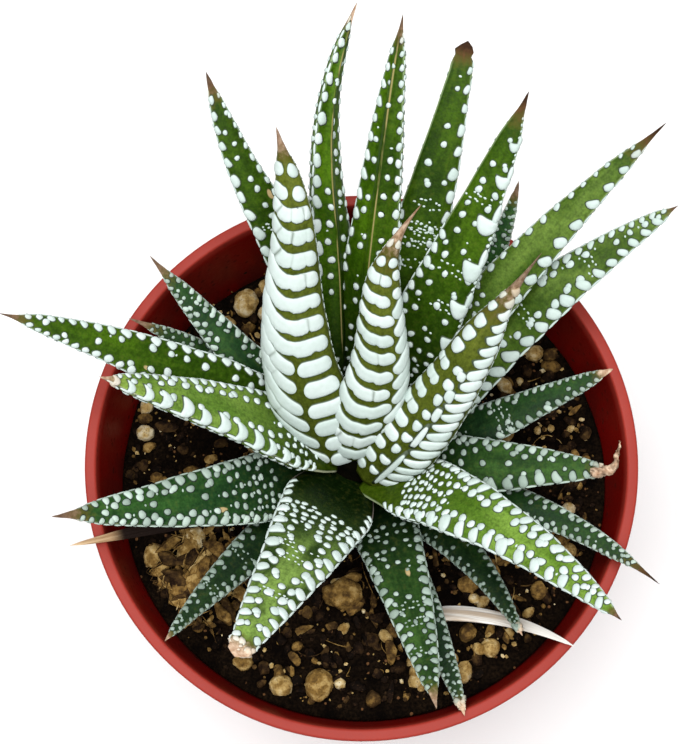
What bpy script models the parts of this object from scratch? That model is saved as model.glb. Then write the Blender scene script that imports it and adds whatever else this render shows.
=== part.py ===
"""A potted haworthia: a rosette of thick, white-banded leaves in a round plastic nursery pot.

Frame: metres, +Z up, origin at the centre of the pot's underside. The rosette leans towards +Y,
as a plant does that has grown towards one window, and -Y is the front of the pot.
Every piece is a solid of its own: pot, potting mix, stem, each leaf and each loose stone.
"""
import math
from collections import namedtuple

import bmesh
import bpy
from mathutils import Matrix, Vector, noise
from mathutils.bvhtree import BVHTree

MM = 0.001
GAP = 0.35 * MM                    # clearance that neighbouring pieces keep

# ---- driving dimensions: pot ----
RIM_RADIUS = 50 * MM
POT_HEIGHT = 80 * MM
BASE_RADIUS = 35 * MM
WALL = 1.4 * MM
LIP_WIDTH = 2.2 * MM               # width of the rim seen from above
LIP_HEIGHT = 2.4 * MM              # height of the rolled edge
BAND_HEIGHT = 14 * MM              # stiffening band below the rim
BAND_STEP = 1.0 * MM               # how far the band stands out from the wall
FLOOR_THICKNESS = 2 * MM
POT_SIDES = 64
DRAIN_COUNT = 6
DRAIN_RADIUS = 3.5 * MM
DRAIN_CIRCLE = 24 * MM             # radius on which the drain holes sit
GROOVE_WIDTH = 5 * MM              # drain grooves across the underside
GROOVE_DEPTH = 1 * MM
GROOVE_START = 15 * MM             # the grooves leave a flat disc inside this radius

# ---- driving dimensions: potting mix, stem and stones ----
SOIL_LEVEL = 66.5 * MM              # mean height of the mix at the pot's axis
SOIL_FALL_BACK = 0.13              # the mix lies lower towards +Y, metres per metre
SOIL_RISE_RIGHT = 0.04             # and a little higher towards +X
SOIL_DISH = 2 * MM                 # hollow that watering has washed round the stem
SOIL_DISH_RADIUS = 16 * MM
SOIL_BUMPS = 0.6 * MM
SOIL_BUMP_SPACING = 9 * MM
SOIL_SIDES = 48
SOIL_RINGS = 6
STEM_FOOT = Vector((-1, -9, 52)) * MM
STEM_TOP = Vector((-1, 3.5, 84)) * MM
STEM_FOOT_RADIUS = 6.5 * MM
STEM_TOP_RADIUS = 4.5 * MM
STEM_SIDES = 16
STONE_PROUD = 0.18                 # share of a stone's height that its middle lies above the mix
STONE_DENTS = 0.22                 # how far a stone is out of round, as a share of its size

# ---- driving dimensions: leaves ----
LEAF_STATIONS = 12                 # rings of points between the foot and the tip
LEAF_SIDES = 8                     # points round each ring
LEAF_PEAK = 0.22                   # share of the length at which a leaf is widest
LEAF_FOOT_WIDTH = 0.66             # width at the stem, as a share of the widest
LEAF_TAPER = 0.70                  # exponent of the taper of the width towards the tip
LEAF_THINNING = 0.50               # exponent of the taper of the thickness
LEAF_TOP_BULGE = 0.22              # share of the thickness that lies above the margins
LEAF_BEND = 0.8                    # below 1, a leaf bends mostly near its foot
LEAF_SWING = 1.3                   # above 1, a swaying leaf swings back beyond its middle

# One row for each leaf, youngest first. A younger leaf keeps its shape, and the older ones
# under it are pressed in where they meet it. dry_leaf_1 has fallen: it lies under outer_leaf_10
# with its tip over the rim. dry_leaf_2 still hangs on the stem.
#   side, rise, reach   foot: compass angle round the stem (degrees, 0 = +X, 90 = +Y), height
#                       and distance from the stem's axis (mm)
#   face                compass angle that the leaf's back looks to
#   heading, lean       compass angle of growth and angle from upright, at the foot and the tip
#   length, width, thick (mm), and twist about its own line at the foot and the tip (degrees)
#   sway                how far it swings to one side and then to the other on its way (mm)
Leaf = namedtuple("Leaf", "name side rise reach face heading lean length width thick twist sway",
                  defaults=(0,))
LEAVES = (
    Leaf("inner_leaf_1", -100, 83, 2, -95, (87, 65), (30, 55), 52.5, 12, 4.6, (0, 0), 2.0),
    Leaf("inner_leaf_2", -155, 81, 4, -97, (116, 94), (36, 60), 64.5, 14.5, 4.8, (0, 0), -1.5),
    Leaf("inner_leaf_3", -60, 80, 5, -130, (34, 55), (37, 60), 55.5, 13, 5.0, (0, 0), 0.6),
    Leaf("middle_leaf_1", 175, 79, 4, 175, (164, 176), (45, 54), 51.5, 14.5, 4.8, (-22, -22)),
    Leaf("middle_leaf_2", -55, 78.5, 4.5, -45, (-20, -50), (46, 58), 63.5, 13, 4.8, (0, 0)),
    Leaf("middle_leaf_3", -115, 78, 4.5, -118, (-114, -118), (40, 50), 55.5, 16.5, 5.0, (0, 0)),
    Leaf("middle_leaf_4", 50, 80, 3.5, 60, (57, 66), (48, 60), 70, 14, 4.8, (0, 0)),
    Leaf("middle_leaf_5", 88, 81, 3.5, 80, (86, 81), (50, 60), 75.5, 13, 4.8, (25, 25)),
    Leaf("middle_leaf_6", 115, 80, 3.5, 100, (109, 75), (50, 65), 78.5, 11.5, 4.8, (-30, -45), -2.0),
    Leaf("middle_leaf_7", 70, 78, 3.5, 75, (71, 76), (55, 62), 74.5, 13.5, 4.6, (0, 0)),
    Leaf("middle_leaf_8", 135, 78, 3.5, 115, (103, 119), (52, 62), 72.5, 12, 4.6, (0, 0), -1.3),
    Leaf("middle_leaf_9", 30, 77, 3.5, 45, (53, 38), (56, 62), 80, 11.5, 4.6, (0, 0)),
    Leaf("middle_leaf_10", 165, 76.5, 3.5, 163, (149, 172), (58, 66), 68.5, 12.5, 4.6, (0, 0)),
    Leaf("middle_leaf_11", 10, 75.5, 3.5, 35, (49, 27), (60, 66), 72.5, 15, 4.6, (0, 0)),
    Leaf("outer_leaf_1", -10, 74.5, 3.5, -2, (0, -8), (66, 70), 45, 13, 4.2, (0, 0)),
    Leaf("outer_leaf_2", -170, 74.5, 3.5, -170, (-159, -171), (64, 66), 55.5, 13.5, 4.2, (0, 0)),
    Leaf("outer_leaf_3", -60, 74, 5, -70, (-69, -79), (66, 71), 45, 12, 4.2, (0, 0)),
    Leaf("outer_leaf_4", 140, 73, 3.5, 138, (139, 133), (68, 70), 51.5, 10, 4.0, (0, 0)),
    Leaf("outer_leaf_5", 60, 73, 3.5, 60, (39, 75), (68, 66), 58.5, 8.5, 3.6, (0, 0)),
    Leaf("outer_leaf_6", 10, 72, 3.5, 15, (19, 21), (72, 70), 48, 10, 3.8, (0, 0)),
    Leaf("outer_leaf_7", -45, 72, 3.5, -45, (-22, -67), (72, 74), 42, 8.5, 3.2, (0, 0)),
    Leaf("outer_leaf_8", -145, 71.5, 3.5, -138, (-147, -127), (72, 74), 45, 9.5, 3.2, (0, 0)),
    Leaf("outer_leaf_9", -25, 70.5, 3.5, -25, (5, -43), (73, 77), 57.5, 8, 3.2, (0, 0)),
    Leaf("outer_leaf_10", -65, 70.5, 3.5, -68, (-58, -74), (76, 77), 46, 8.5, 3.0, (0, 0)),
    Leaf("outer_leaf_11", 150, 70, 3.5, 150, (126, 163), (74, 72), 49, 8, 3.0, (0, 0)),
    Leaf("dry_leaf_1", -73, 72.8, 28, -80, (12, -31), (78, 71), 33, 4.5, 1.4, (0, 0)),
    Leaf("dry_leaf_2", -165, 71.5, 3.5, -165, (-161, -166), (78, 76), 51, 5, 1.4, (0, 0)),
)

# One row for each stone that lies loose on the mix: compass angle, distance from the pot's
# axis, length, width and height (mm), and its turn about the vertical.
Stone = namedtuple("Stone", "angle reach length width height turn")
STONES = (
    Stone(-99, 23.5, 8.5, 6.5, 5.0, 10),
    Stone(-101, 40.5, 6.6, 6.0, 5.5, 80),
    Stone(-110, 42.5, 5.4, 4.2, 3.6, -20),
    Stone(-121, 41.5, 4.2, 3.8, 3.4, 0),
    Stone(-65, 42.0, 4.4, 4.0, 3.6, 30),
    Stone(-157, 41.5, 5.2, 4.6, 4.2, 60),
    Stone(-158, 33.0, 5.4, 4.4, 4.2, 90),
    Stone(169, 41.5, 3.8, 3.6, 3.2, 0),
    Stone(141, 41.0, 3.8, 3.4, 3.2, 0),
    Stone(123, 40.5, 6.6, 5.4, 4.6, 110),
    Stone(131, 39.5, 4.8, 3.8, 3.4, 20),
    Stone(35, 40.5, 4.4, 4.0, 3.6, 40),
    Stone(-22, 41.0, 4.0, 3.4, 3.2, 0),
    Stone(-55, 40.5, 4.4, 4.2, 3.6, 15),
)


def clear_scene():
    for old in list(bpy.data.objects):
        bpy.data.objects.remove(old, do_unlink=True)


def plain_material(name, colour, roughness):
    material = bpy.data.materials.new(name)
    material.use_nodes = True
    shader = material.node_tree.nodes["Principled BSDF"]
    shader.inputs["Base Color"].default_value = (*colour, 1)
    shader.inputs["Roughness"].default_value = roughness
    shader.inputs["Metallic"].default_value = 0
    return material


def add_object(name, bm, material):
    """Turn a bmesh into an object of the model, with its faces pointing out."""
    bmesh.ops.recalc_face_normals(bm, faces=bm.faces)
    mesh = bpy.data.meshes.new(name)
    bm.to_mesh(mesh)
    bm.free()
    mesh.shade_smooth()
    mesh.set_sharp_from_angle(angle=math.radians(40))
    body = bpy.data.objects.new(name, mesh)
    bpy.context.collection.objects.link(body)
    if material:
        mesh.materials.append(material)
    return body


def make_cutter(body):
    body.hide_render = True
    body.display_type = "WIRE"
    return body


def cut(body, cutter):
    boolean = body.modifiers.new(cutter.name, "BOOLEAN")
    boolean.operation = "DIFFERENCE"
    boolean.solver = "EXACT"
    boolean.object = cutter


def skin_rings(bm, rings, first_pole, last_pole):
    """Join rings of points, one after the other, and close both ends."""
    loops = [[bm.verts.new(point) for point in ring] for ring in rings]
    count = len(loops[0])
    for below, above in zip(loops, loops[1:]):
        for i in range(count):
            j = (i + 1) % count
            bm.faces.new((below[i], below[j], above[j], above[i]))
    for loop, pole in ((loops[0], first_pole), (loops[-1], last_pole)):
        apex = bm.verts.new(pole)
        for i in range(count):
            bm.faces.new((loop[i], loop[(i + 1) % count], apex))


def circle(radius, height, sides):
    step = math.tau / sides
    return [Vector((radius * math.cos(i * step), radius * math.sin(i * step), height))
            for i in range(sides)]


# ---------------------------------------------------------------- pot

def wall_radius(height):
    """Outer radius of the plain wall at a height."""
    top = RIM_RADIUS - BAND_STEP - 1 * MM
    return BASE_RADIUS + (top - BASE_RADIUS) * height / POT_HEIGHT


def inner_radius(height):
    """Inner radius of the pot at a height above its floor."""
    top = RIM_RADIUS - LIP_WIDTH
    bottom = wall_radius(FLOOR_THICKNESS) - WALL
    return bottom + (top - bottom) * (height - FLOOR_THICKNESS) / (POT_HEIGHT - FLOOR_THICKNESS)


def make_pot(material):
    round_edge = 0.6 * MM
    band_foot = POT_HEIGHT - BAND_HEIGHT
    lip_foot = POT_HEIGHT - LIP_HEIGHT
    profile = (
        (BASE_RADIUS - 2 * round_edge, 0),
        (BASE_RADIUS, 2 * round_edge),
        (wall_radius(band_foot - BAND_STEP), band_foot - BAND_STEP),
        (wall_radius(band_foot) + BAND_STEP, band_foot),
        (wall_radius(lip_foot) + BAND_STEP, lip_foot),
        (RIM_RADIUS, lip_foot + round_edge),
        (RIM_RADIUS, POT_HEIGHT - round_edge),
        (RIM_RADIUS - round_edge, POT_HEIGHT),
        (RIM_RADIUS - LIP_WIDTH + round_edge, POT_HEIGHT),
        (inner_radius(POT_HEIGHT - round_edge), POT_HEIGHT - round_edge),
        (inner_radius(FLOOR_THICKNESS), FLOOR_THICKNESS),
    )
    bm = bmesh.new()
    rings = [circle(radius, height, POT_SIDES) for radius, height in profile]
    skin_rings(bm, rings, (0, 0, 0), (0, 0, FLOOR_THICKNESS))
    pot = add_object("pot", bm, material)
    for index in range(DRAIN_COUNT):
        turn = Matrix.Rotation(math.tau * index / DRAIN_COUNT, 4, "Z")
        cut(pot, drain_groove(index, turn))
        cut(pot, drain_hole(index, turn))
    return pot


def drain_groove(index, turn):
    length = BASE_RADIUS + 5 * MM - GROOVE_START
    middle = Matrix.Translation((GROOVE_START + length / 2, 0, 0))
    bm = bmesh.new()
    bmesh.ops.create_cube(bm, size=1, matrix=turn @ middle @ Matrix.Diagonal(
        (length, GROOVE_WIDTH, 2 * GROOVE_DEPTH, 1)))
    return make_cutter(add_object(f"drain_groove_cutter_{index + 1}", bm, None))


def drain_hole(index, turn):
    bm = bmesh.new()
    bmesh.ops.create_cone(bm, cap_ends=True, segments=12, radius1=DRAIN_RADIUS,
                          radius2=DRAIN_RADIUS, depth=4 * FLOOR_THICKNESS,
                          matrix=turn @ Matrix.Translation((DRAIN_CIRCLE, 0, 0)))
    return make_cutter(add_object(f"drain_hole_cutter_{index + 1}", bm, None))


# ---------------------------------------------------------------- stem and potting mix

def stem_axis(height):
    share = (height - STEM_FOOT.z) / (STEM_TOP.z - STEM_FOOT.z)
    return STEM_FOOT.lerp(STEM_TOP, share)


def stem_mesh(extra):
    """The stem as rings of points, or with extra > 0 the same shape that much fatter."""
    rings = []
    for share in (0, 0.35, 0.7, 0.9):
        centre = STEM_FOOT.lerp(STEM_TOP, share)
        radius = STEM_FOOT_RADIUS + (STEM_TOP_RADIUS - STEM_FOOT_RADIUS) * share + extra
        rings.append([centre + point for point in circle(radius, 0, STEM_SIDES)])
    shoulder = STEM_FOOT.lerp(STEM_TOP, 0.97)
    rings.append([shoulder + p for p in circle(0.6 * STEM_TOP_RADIUS + extra, 0, STEM_SIDES)])
    up = Vector((0, 0, extra))
    bm = bmesh.new()
    skin_rings(bm, rings, STEM_FOOT - up, STEM_TOP + up)
    return bm


def soil_height(x, y):
    """Height of the top of the potting mix."""
    away = math.hypot(x - STEM_FOOT.x, y - stem_axis(SOIL_LEVEL).y) / SOIL_DISH_RADIUS
    dish = SOIL_DISH * max(0, 1 - away) ** 0.5
    bumps = SOIL_BUMPS * noise.noise(Vector((x, y, 0)) / SOIL_BUMP_SPACING)
    return SOIL_LEVEL - SOIL_FALL_BACK * y + SOIL_RISE_RIGHT * x - dish + bumps


def soil_edge(angle):
    """The point where the mix meets the pot's wall in one direction."""
    height = SOIL_LEVEL
    for _ in range(4):
        radius = inner_radius(height) - GAP
        height = soil_height(radius * math.cos(angle), radius * math.sin(angle))
    return radius, height


def make_soil(material, sockets):
    foot = FLOOR_THICKNESS + GAP
    angles = [math.tau * i / SOIL_SIDES for i in range(SOIL_SIDES)]
    rings = [circle(inner_radius(foot) - GAP, foot, SOIL_SIDES)]
    edges = [soil_edge(angle) for angle in angles]
    for ring in range(SOIL_RINGS):
        share = 1 - ring / SOIL_RINGS
        points = []
        for angle, (radius, height) in zip(angles, edges):
            x = share * radius * math.cos(angle)
            y = share * radius * math.sin(angle)
            points.append(Vector((x, y, soil_height(x, y) if ring else height)))
        rings.append(points)
    bm = bmesh.new()
    skin_rings(bm, rings, (0, 0, foot), (0, 0, soil_height(0, 0)))
    soil = add_object("potting_mix", bm, material)
    for socket in sockets:
        cut(soil, socket)
    return soil


def stone_mesh(stone, number, extra):
    """A worn lump; with extra > 0, the same lump that much larger all round."""
    angle = math.radians(stone.angle)
    x = stone.reach * MM * math.cos(angle)
    y = stone.reach * MM * math.sin(angle)
    half = Vector((stone.length, stone.width, stone.height)) * MM / 2
    centre = Vector((x, y, soil_height(x, y) + 2 * STONE_PROUD * half.z))
    turn = Matrix.Rotation(math.radians(stone.turn), 3, "Z")
    bm = bmesh.new()
    bmesh.ops.create_icosphere(bm, subdivisions=1, radius=1)
    for vert in bm.verts:
        way = vert.co.normalized()
        dent = 1 + STONE_DENTS * noise.noise(way * 1.3 + Vector((number, 0, 0)))
        point = Vector((way.x * half.x, way.y * half.y, way.z * half.z)) * dent
        vert.co = centre + turn @ (point + way * extra)
    return bm


# ---------------------------------------------------------------- leaves

def growth(heading, lean):
    """Unit vector of growth: compass angle and angle from upright, in degrees."""
    flat = math.sin(math.radians(lean))
    turn = math.radians(heading)
    return Vector((flat * math.cos(turn), flat * math.sin(turn), math.cos(math.radians(lean))))


def leaf_frames(leaf, extra=0.0):
    """Centre, width direction and upward direction of the leaf at each station, foot to tip."""
    outward = growth(leaf.side, 90)
    back = growth(leaf.face, 90)
    start = growth(leaf.heading[0], leaf.lean[0])
    end = growth(leaf.heading[1], leaf.lean[1])
    length = leaf.length * MM + extra
    centre = stem_axis(leaf.rise * MM) + outward * leaf.reach * MM - start * extra
    frames = []
    steps = 2 * LEAF_STATIONS
    for step in range(steps + 1):
        share = step / steps
        along = start.slerp(end, share ** LEAF_BEND)
        tilt = math.atan2(along.dot(back), along.z)
        upper = Vector((0, 0, math.sin(tilt))) - back * math.cos(tilt)
        upper = (upper - along * upper.dot(along)).normalized()
        twist = math.radians(leaf.twist[0] + (leaf.twist[1] - leaf.twist[0]) * share)
        upper = Matrix.Rotation(-twist, 3, along) @ upper
        across = along.cross(upper)
        swing = leaf.sway * MM * math.sin(math.tau * share ** LEAF_SWING)
        frames.append((share, centre - across * swing, across, upper))
        middle = start.slerp(end, ((step + 0.5) / steps) ** LEAF_BEND)
        centre += middle * (length / steps)
    return frames[::2]


def leaf_taper(share, power):
    if share < LEAF_PEAK:
        swell = math.sin(share / LEAF_PEAK * math.pi / 2)
        return LEAF_FOOT_WIDTH + (1 - LEAF_FOOT_WIDTH) * swell
    return ((1 - share) / (1 - LEAF_PEAK)) ** power


def leaf_mesh(leaf, extra=0.0):
    """A leaf as a closed mesh; with extra > 0, the same leaf that much fatter all round."""
    frames = leaf_frames(leaf, extra)
    rings = []
    for share, centre, across, upper in frames[:-1]:
        half_width = leaf.width * MM / 2 * leaf_taper(share, LEAF_TAPER) + extra
        thick = leaf.thick * MM * leaf_taper(share, LEAF_THINNING)
        rise = thick * LEAF_TOP_BULGE + extra
        belly = thick * (1 - LEAF_TOP_BULGE) + extra
        ring = []
        for side in range(LEAF_SIDES):
            angle = math.tau * side / LEAF_SIDES
            height = math.sin(angle) * (rise if math.sin(angle) > 0 else belly)
            ring.append(centre + across * (half_width * math.cos(angle)) + upper * height)
        rings.append(ring)
    bm = bmesh.new()
    skin_rings(bm, rings, frames[0][1], frames[-1][1])
    return bm


def surface_tree(body):
    return BVHTree.FromObject(body, bpy.context.evaluated_depsgraph_get())


def keep_largest_piece(body):
    """Apply the cuts and drop the chips that they leave beside the leaf."""
    evaluated = body.evaluated_get(bpy.context.evaluated_depsgraph_get())
    mesh = bpy.data.meshes.new_from_object(evaluated)
    bm = bmesh.new()
    bm.from_mesh(mesh)
    bm.faces.ensure_lookup_table()
    unseen = set(bm.faces)
    pieces = []
    while unseen:
        piece = {unseen.pop()}
        front = list(piece)
        while front:
            for edge in front.pop().edges:
                fresh = [face for face in edge.link_faces if face not in piece]
                piece.update(fresh)
                front.extend(fresh)
        unseen -= piece
        pieces.append(piece)
    largest = max(pieces, key=lambda piece: sum(face.calc_area() for face in piece))
    chips = [face for piece in pieces if piece is not largest for face in piece]
    bmesh.ops.delete(bm, geom=chips, context="FACES")
    bm.to_mesh(mesh)
    bm.free()
    body.modifiers.clear()
    body.data = mesh


def make_leaves(materials, stem_cutter):
    """Build the leaves from the youngest to the oldest, each clear of those before it."""
    cutters = [stem_cutter]
    for leaf in LEAVES:
        kind = leaf.name.split("_")[0]
        body = add_object(leaf.name, leaf_mesh(leaf), materials[kind])
        tree = surface_tree(body)
        touching = [cutter for cutter in cutters if tree.overlap(surface_tree(cutter))]
        for cutter in touching:
            cut(body, cutter)
        keep_largest_piece(body)
        cutters.append(make_cutter(add_object(leaf.name + "_cutter", leaf_mesh(leaf, GAP), None)))


clear_scene()
plastic = plain_material("red_plastic", (0.55, 0.06, 0.04), 0.45)
peat = plain_material("potting_mix", (0.03, 0.02, 0.014), 0.95)
bark = plain_material("stem", (0.22, 0.27, 0.12), 0.7)
pumice = plain_material("pumice", (0.42, 0.30, 0.17), 0.9)
leaf_materials = {
    "inner": plain_material("young_leaf", (0.40, 0.46, 0.34), 0.45),
    "middle": plain_material("grown_leaf", (0.08, 0.19, 0.03), 0.42),
    "outer": plain_material("old_leaf", (0.03, 0.09, 0.04), 0.42),
    "dry": plain_material("dry_leaf", (0.62, 0.50, 0.36), 0.8),
}
make_pot(plastic)
add_object("stem", stem_mesh(0), bark)
stem_socket = make_cutter(add_object("stem_cutter", stem_mesh(GAP), None))
stone_sockets = []
for stone_number, row in enumerate(STONES, 1):
    stone_name = f"stone_{stone_number}"
    add_object(stone_name, stone_mesh(row, stone_number, 0), pumice)
    socket_mesh = stone_mesh(row, stone_number, GAP)
    stone_sockets.append(make_cutter(add_object(stone_name + "_cutter", socket_mesh, None)))
make_soil(peat, [stem_socket] + stone_sockets)
make_leaves(leaf_materials, stem_socket)
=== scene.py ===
import math
from collections import namedtuple
from functools import partial

import bmesh
import bpy
import numpy as np
from mathutils import Matrix, Vector, noise


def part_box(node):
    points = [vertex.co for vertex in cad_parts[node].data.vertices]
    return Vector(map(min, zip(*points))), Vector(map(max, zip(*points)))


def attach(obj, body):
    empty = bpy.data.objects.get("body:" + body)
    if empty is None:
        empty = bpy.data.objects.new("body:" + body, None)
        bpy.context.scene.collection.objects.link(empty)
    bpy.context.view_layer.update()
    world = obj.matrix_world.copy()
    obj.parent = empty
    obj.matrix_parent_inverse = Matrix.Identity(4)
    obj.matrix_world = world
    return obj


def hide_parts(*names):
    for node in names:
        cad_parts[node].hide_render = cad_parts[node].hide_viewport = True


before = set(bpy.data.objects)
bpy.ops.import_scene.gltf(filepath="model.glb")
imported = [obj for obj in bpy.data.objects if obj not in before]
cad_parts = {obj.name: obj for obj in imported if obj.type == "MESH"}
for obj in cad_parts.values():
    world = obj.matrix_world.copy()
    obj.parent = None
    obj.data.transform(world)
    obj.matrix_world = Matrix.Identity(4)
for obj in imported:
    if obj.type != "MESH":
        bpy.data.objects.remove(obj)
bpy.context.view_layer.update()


# ---------------------------------------------------------------- pot
# A nursery pot, moulded in one piece from thin coral red polypropylene. Its wall tapers to the
# foot and ends above in a stiffening band and a rolled lip; water leaves by six holes in the
# floor and by the grooves under it. Peat dust clings to the inside above the mix, and the inside
# below the lip is painted a darker red as painted shade.

MM = 0.001
POT_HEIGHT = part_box("pot")[1].z
RIM_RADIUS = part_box("pot")[1].x
FOOT_RADIUS = 35 * MM
FOOT_BEVEL = 1.2 * MM
BAND_HEIGHT = 14 * MM
BAND_STEP = 1 * MM
LIP_WIDTH = 2.0 * MM
LIP_HEIGHT = 2.4 * MM
LIP_OVERHANG = 1 * MM                # how far the lip stands out past the band
LIP_SLOPE = 0.2 * MM                 # rise of the lip's underside, and its lean inward
WALL = 1.4 * MM
FLOOR = 2 * MM
POT_ROUNDING = 0.45 * MM
POT_SIDES = 160
POT_CREASE = 35                      # edges sharper than this many degrees stay crisp
DRAIN_COUNT = 6
DRAIN_RADIUS = 3.5 * MM
DRAIN_CIRCLE = 24 * MM
DRAIN_SIDES = 32
GROOVE_START = 15 * MM
GROOVE_WIDTH = 5 * MM
GROOVE_DEPTH = 1 * MM
GROOVE_SPARE = 5 * MM                # length by which the grooves' cutter clears the foot
FLOOR_EDGE = 4 * MM                  # width of the floor's outermost ring
UNDER_MIX = 60 * MM                  # a height on the inside wall, below the mix
DUST_FULL = 66 * MM                  # the dust lies thick up to this height
DUST_TOP = 77 * MM                   # and thins out up to this one
INSIDE_SLACK = 0.3 * MM              # what lies this near the inner wall counts as inside
INSIDE_SHADE_DEPTHS = (0.3 * MM, 0.7 * MM)  # the painted shade inside begins and is full this far down
LIP_WEAR_DEPTH = 1.2 * MM            # the lip's wear reaches this far down

CORAL = (0.250, 0.018, 0.012)
CORAL_CLOUDS = (0.25, 0.020, 0.013)
CORAL_FLOW = (0.38, 0.050, 0.033)
CORAL_WORN = (0.33, 0.045, 0.030)
# painted shade: the inside of the wall takes this darker red instead of the pot's own coral
CORAL_INSIDE_SHADE = (0.17, 0.0025, 0.0012)
PEAT_DUST = (0.020, 0.009, 0.005)


def write_values(mesh, values):
    for label, numbers in values.items():
        numbers = np.asarray(numbers, dtype=np.float32)
        kind, field = ("FLOAT_VECTOR", "vector") if numbers.ndim == 2 else ("FLOAT", "value")
        mesh.attributes.new(label, kind, "POINT").data.foreach_set(field, numbers.ravel())


def add_piece(name, verts, faces, materials, worn=None, values=None):
    """Add a smooth mesh that belongs to the object. worn gives each face's material by number,
    and values the numbers, by name, that the materials read at each vertex."""
    mesh = bpy.data.meshes.new(name)
    mesh.from_pydata([tuple(map(float, vert)) for vert in verts], [], faces)
    for material in materials:
        mesh.materials.append(material)
    if worn is not None:
        mesh.polygons.foreach_set("material_index", np.asarray(worn, dtype=np.int32))
    mesh.shade_smooth()
    write_values(mesh, values or {})
    piece = bpy.data.objects.new(name, mesh)
    bpy.context.scene.collection.objects.link(piece)
    return piece


def blend_in(low, high, value):
    """0 below low, 1 above high, and smooth between them."""
    share = np.clip((np.asarray(value, dtype=float) - low) / (high - low), 0, 1)
    return share * share * (3 - 2 * share)


def neighbours(sides, flipped=False):
    """Each vertex of a ring with the next one."""
    pairs = [(i, (i + 1) % sides) for i in range(sides)]
    return [(b, a) for a, b in pairs] if flipped else pairs


def wall_faces(rings, sides, flipped=False):
    """Faces between rings of vertices that follow one another."""
    return [(ring * sides + a, ring * sides + b, (ring + 1) * sides + b, (ring + 1) * sides + a)
            for ring in range(rings - 1) for a, b in neighbours(sides, flipped)]


def pointed_faces(rings, sides, flipped=False):
    """Faces of a solid made of rings, then a vertex that closes the first and one for the last."""
    faces = wall_faces(rings, sides, flipped)
    last, first_end = (rings - 1) * sides, rings * sides
    for a, b in neighbours(sides, flipped):
        faces += [(b, a, first_end), (last + a, last + b, first_end + 1)]
    return faces


def rounded(corners, radius, steps=4):
    """The line through these corners, with each inner one turned into a short curve."""
    line = [corners[0]]
    for before, corner, after in zip(corners, corners[1:], corners[2:]):
        before, corner, after = Vector(before), Vector(corner), Vector(after)
        to_before, to_after = before - corner, after - corner
        reach = min(radius, to_before.length / 2.1, to_after.length / 2.1)
        start = corner + to_before.normalized() * reach
        end = corner + to_after.normalized() * reach
        for step in range(steps + 1):
            share = step / steps
            line.append(tuple(start.lerp(corner, share).lerp(corner.lerp(end, share), share)))
    line.append(corners[-1])
    return line


def turned(profile, sides):
    """Vertices and faces of a solid turned about Z: (radius, height) from the outside of its
    foot up, over its lip and down to the middle of its floor."""
    angles = np.arange(sides) * math.tau / sides
    verts = [(radius * math.cos(a), radius * math.sin(a), height)
             for radius, height in profile for a in angles]
    verts += [(0, 0, profile[0][1]), (0, 0, profile[-1][1])]
    return verts, pointed_faces(len(profile), sides)


def wall_radius(height):
    top = RIM_RADIUS - BAND_STEP - LIP_OVERHANG
    return FOOT_RADIUS + (top - FOOT_RADIUS) * height / POT_HEIGHT


def inner_radius(height):
    top = RIM_RADIUS - LIP_WIDTH - LIP_SLOPE
    bottom = wall_radius(FLOOR) - WALL
    return bottom + (top - bottom) * (height - FLOOR) / (POT_HEIGHT - FLOOR)


def cut_away(piece, cutter):
    """Cut one mesh out of another for good."""
    tool = piece.modifiers.new("cut", "BOOLEAN")
    tool.operation = "DIFFERENCE"
    tool.solver = "EXACT"
    tool.object = cutter
    result = piece.evaluated_get(bpy.context.evaluated_depsgraph_get())
    mesh = bpy.data.meshes.new_from_object(result)
    piece.modifiers.clear()
    piece.data = mesh
    bpy.data.objects.remove(cutter, do_unlink=True)


def drain_cutter(hole):
    """The six drain holes, or the six grooves, as one mesh."""
    bm = bmesh.new()
    for index in range(DRAIN_COUNT):
        turn = Matrix.Rotation(math.tau * index / DRAIN_COUNT, 4, "Z")
        if hole:
            place = turn @ Matrix.Translation((DRAIN_CIRCLE, 0, 0))
            bmesh.ops.create_cone(bm, cap_ends=True, segments=DRAIN_SIDES, radius1=DRAIN_RADIUS,
                                  radius2=DRAIN_RADIUS, depth=4 * FLOOR, matrix=place)
        else:
            length = FOOT_RADIUS + GROOVE_SPARE - GROOVE_START
            place = turn @ Matrix.Translation((GROOVE_START + length / 2, 0, 0))
            size = Matrix.Diagonal((length, GROOVE_WIDTH, 2 * GROOVE_DEPTH, 1))
            bmesh.ops.create_cube(bm, size=1, matrix=place @ size)
    mesh = bpy.data.meshes.new("drain_cutter")
    bm.to_mesh(mesh)
    bm.free()
    cutter = bpy.data.objects.new("drain_cutter", mesh)
    bpy.context.scene.collection.objects.link(cutter)
    return cutter


class Value:
    """A number, colour or place that a material works out. Arithmetic on it adds Math nodes."""

    def __init__(self, socket):
        self.socket = socket
        self.tree = socket.id_data

    def output(self, label):
        """Another output of the same node."""
        return Value(self.socket.node.outputs[label])

    def clamped(self):
        self.socket.node.use_clamp = True
        return self

    def maths(self, operation, first, second):
        return put(self.tree, "Math", {0: first, 1: second}, operation=operation)

    def __add__(self, other):
        return self.maths("ADD", self, other)

    def __sub__(self, other):
        return self.maths("SUBTRACT", self, other)

    def __rsub__(self, other):
        return self.maths("SUBTRACT", other, self)

    def __mul__(self, other):
        return self.maths("MULTIPLY", self, other)

    def __rtruediv__(self, other):
        return self.maths("DIVIDE", other, self)

    def __lt__(self, other):
        return self.maths("LESS_THAN", self, other)


def feed(node, inputs):
    """Set a node's sockets, by name or number, to plain values or to ones worked out."""
    for label, value in inputs.items():
        socket = node.inputs[label]
        if isinstance(value, Value):
            value.tree.links.new(value.socket, socket)
        else:
            socket.default_value = (*value, 1) if socket.type == "RGBA" else value


def put(tree, kind, inputs, output=0, **settings):
    """Add a node with its settings and inputs, and give back one of its outputs."""
    node = tree.nodes.new("ShaderNode" + kind)
    for setting, value in settings.items():
        setattr(node, setting, value)
    feed(node, inputs)
    return Value(node.outputs[output])


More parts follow.
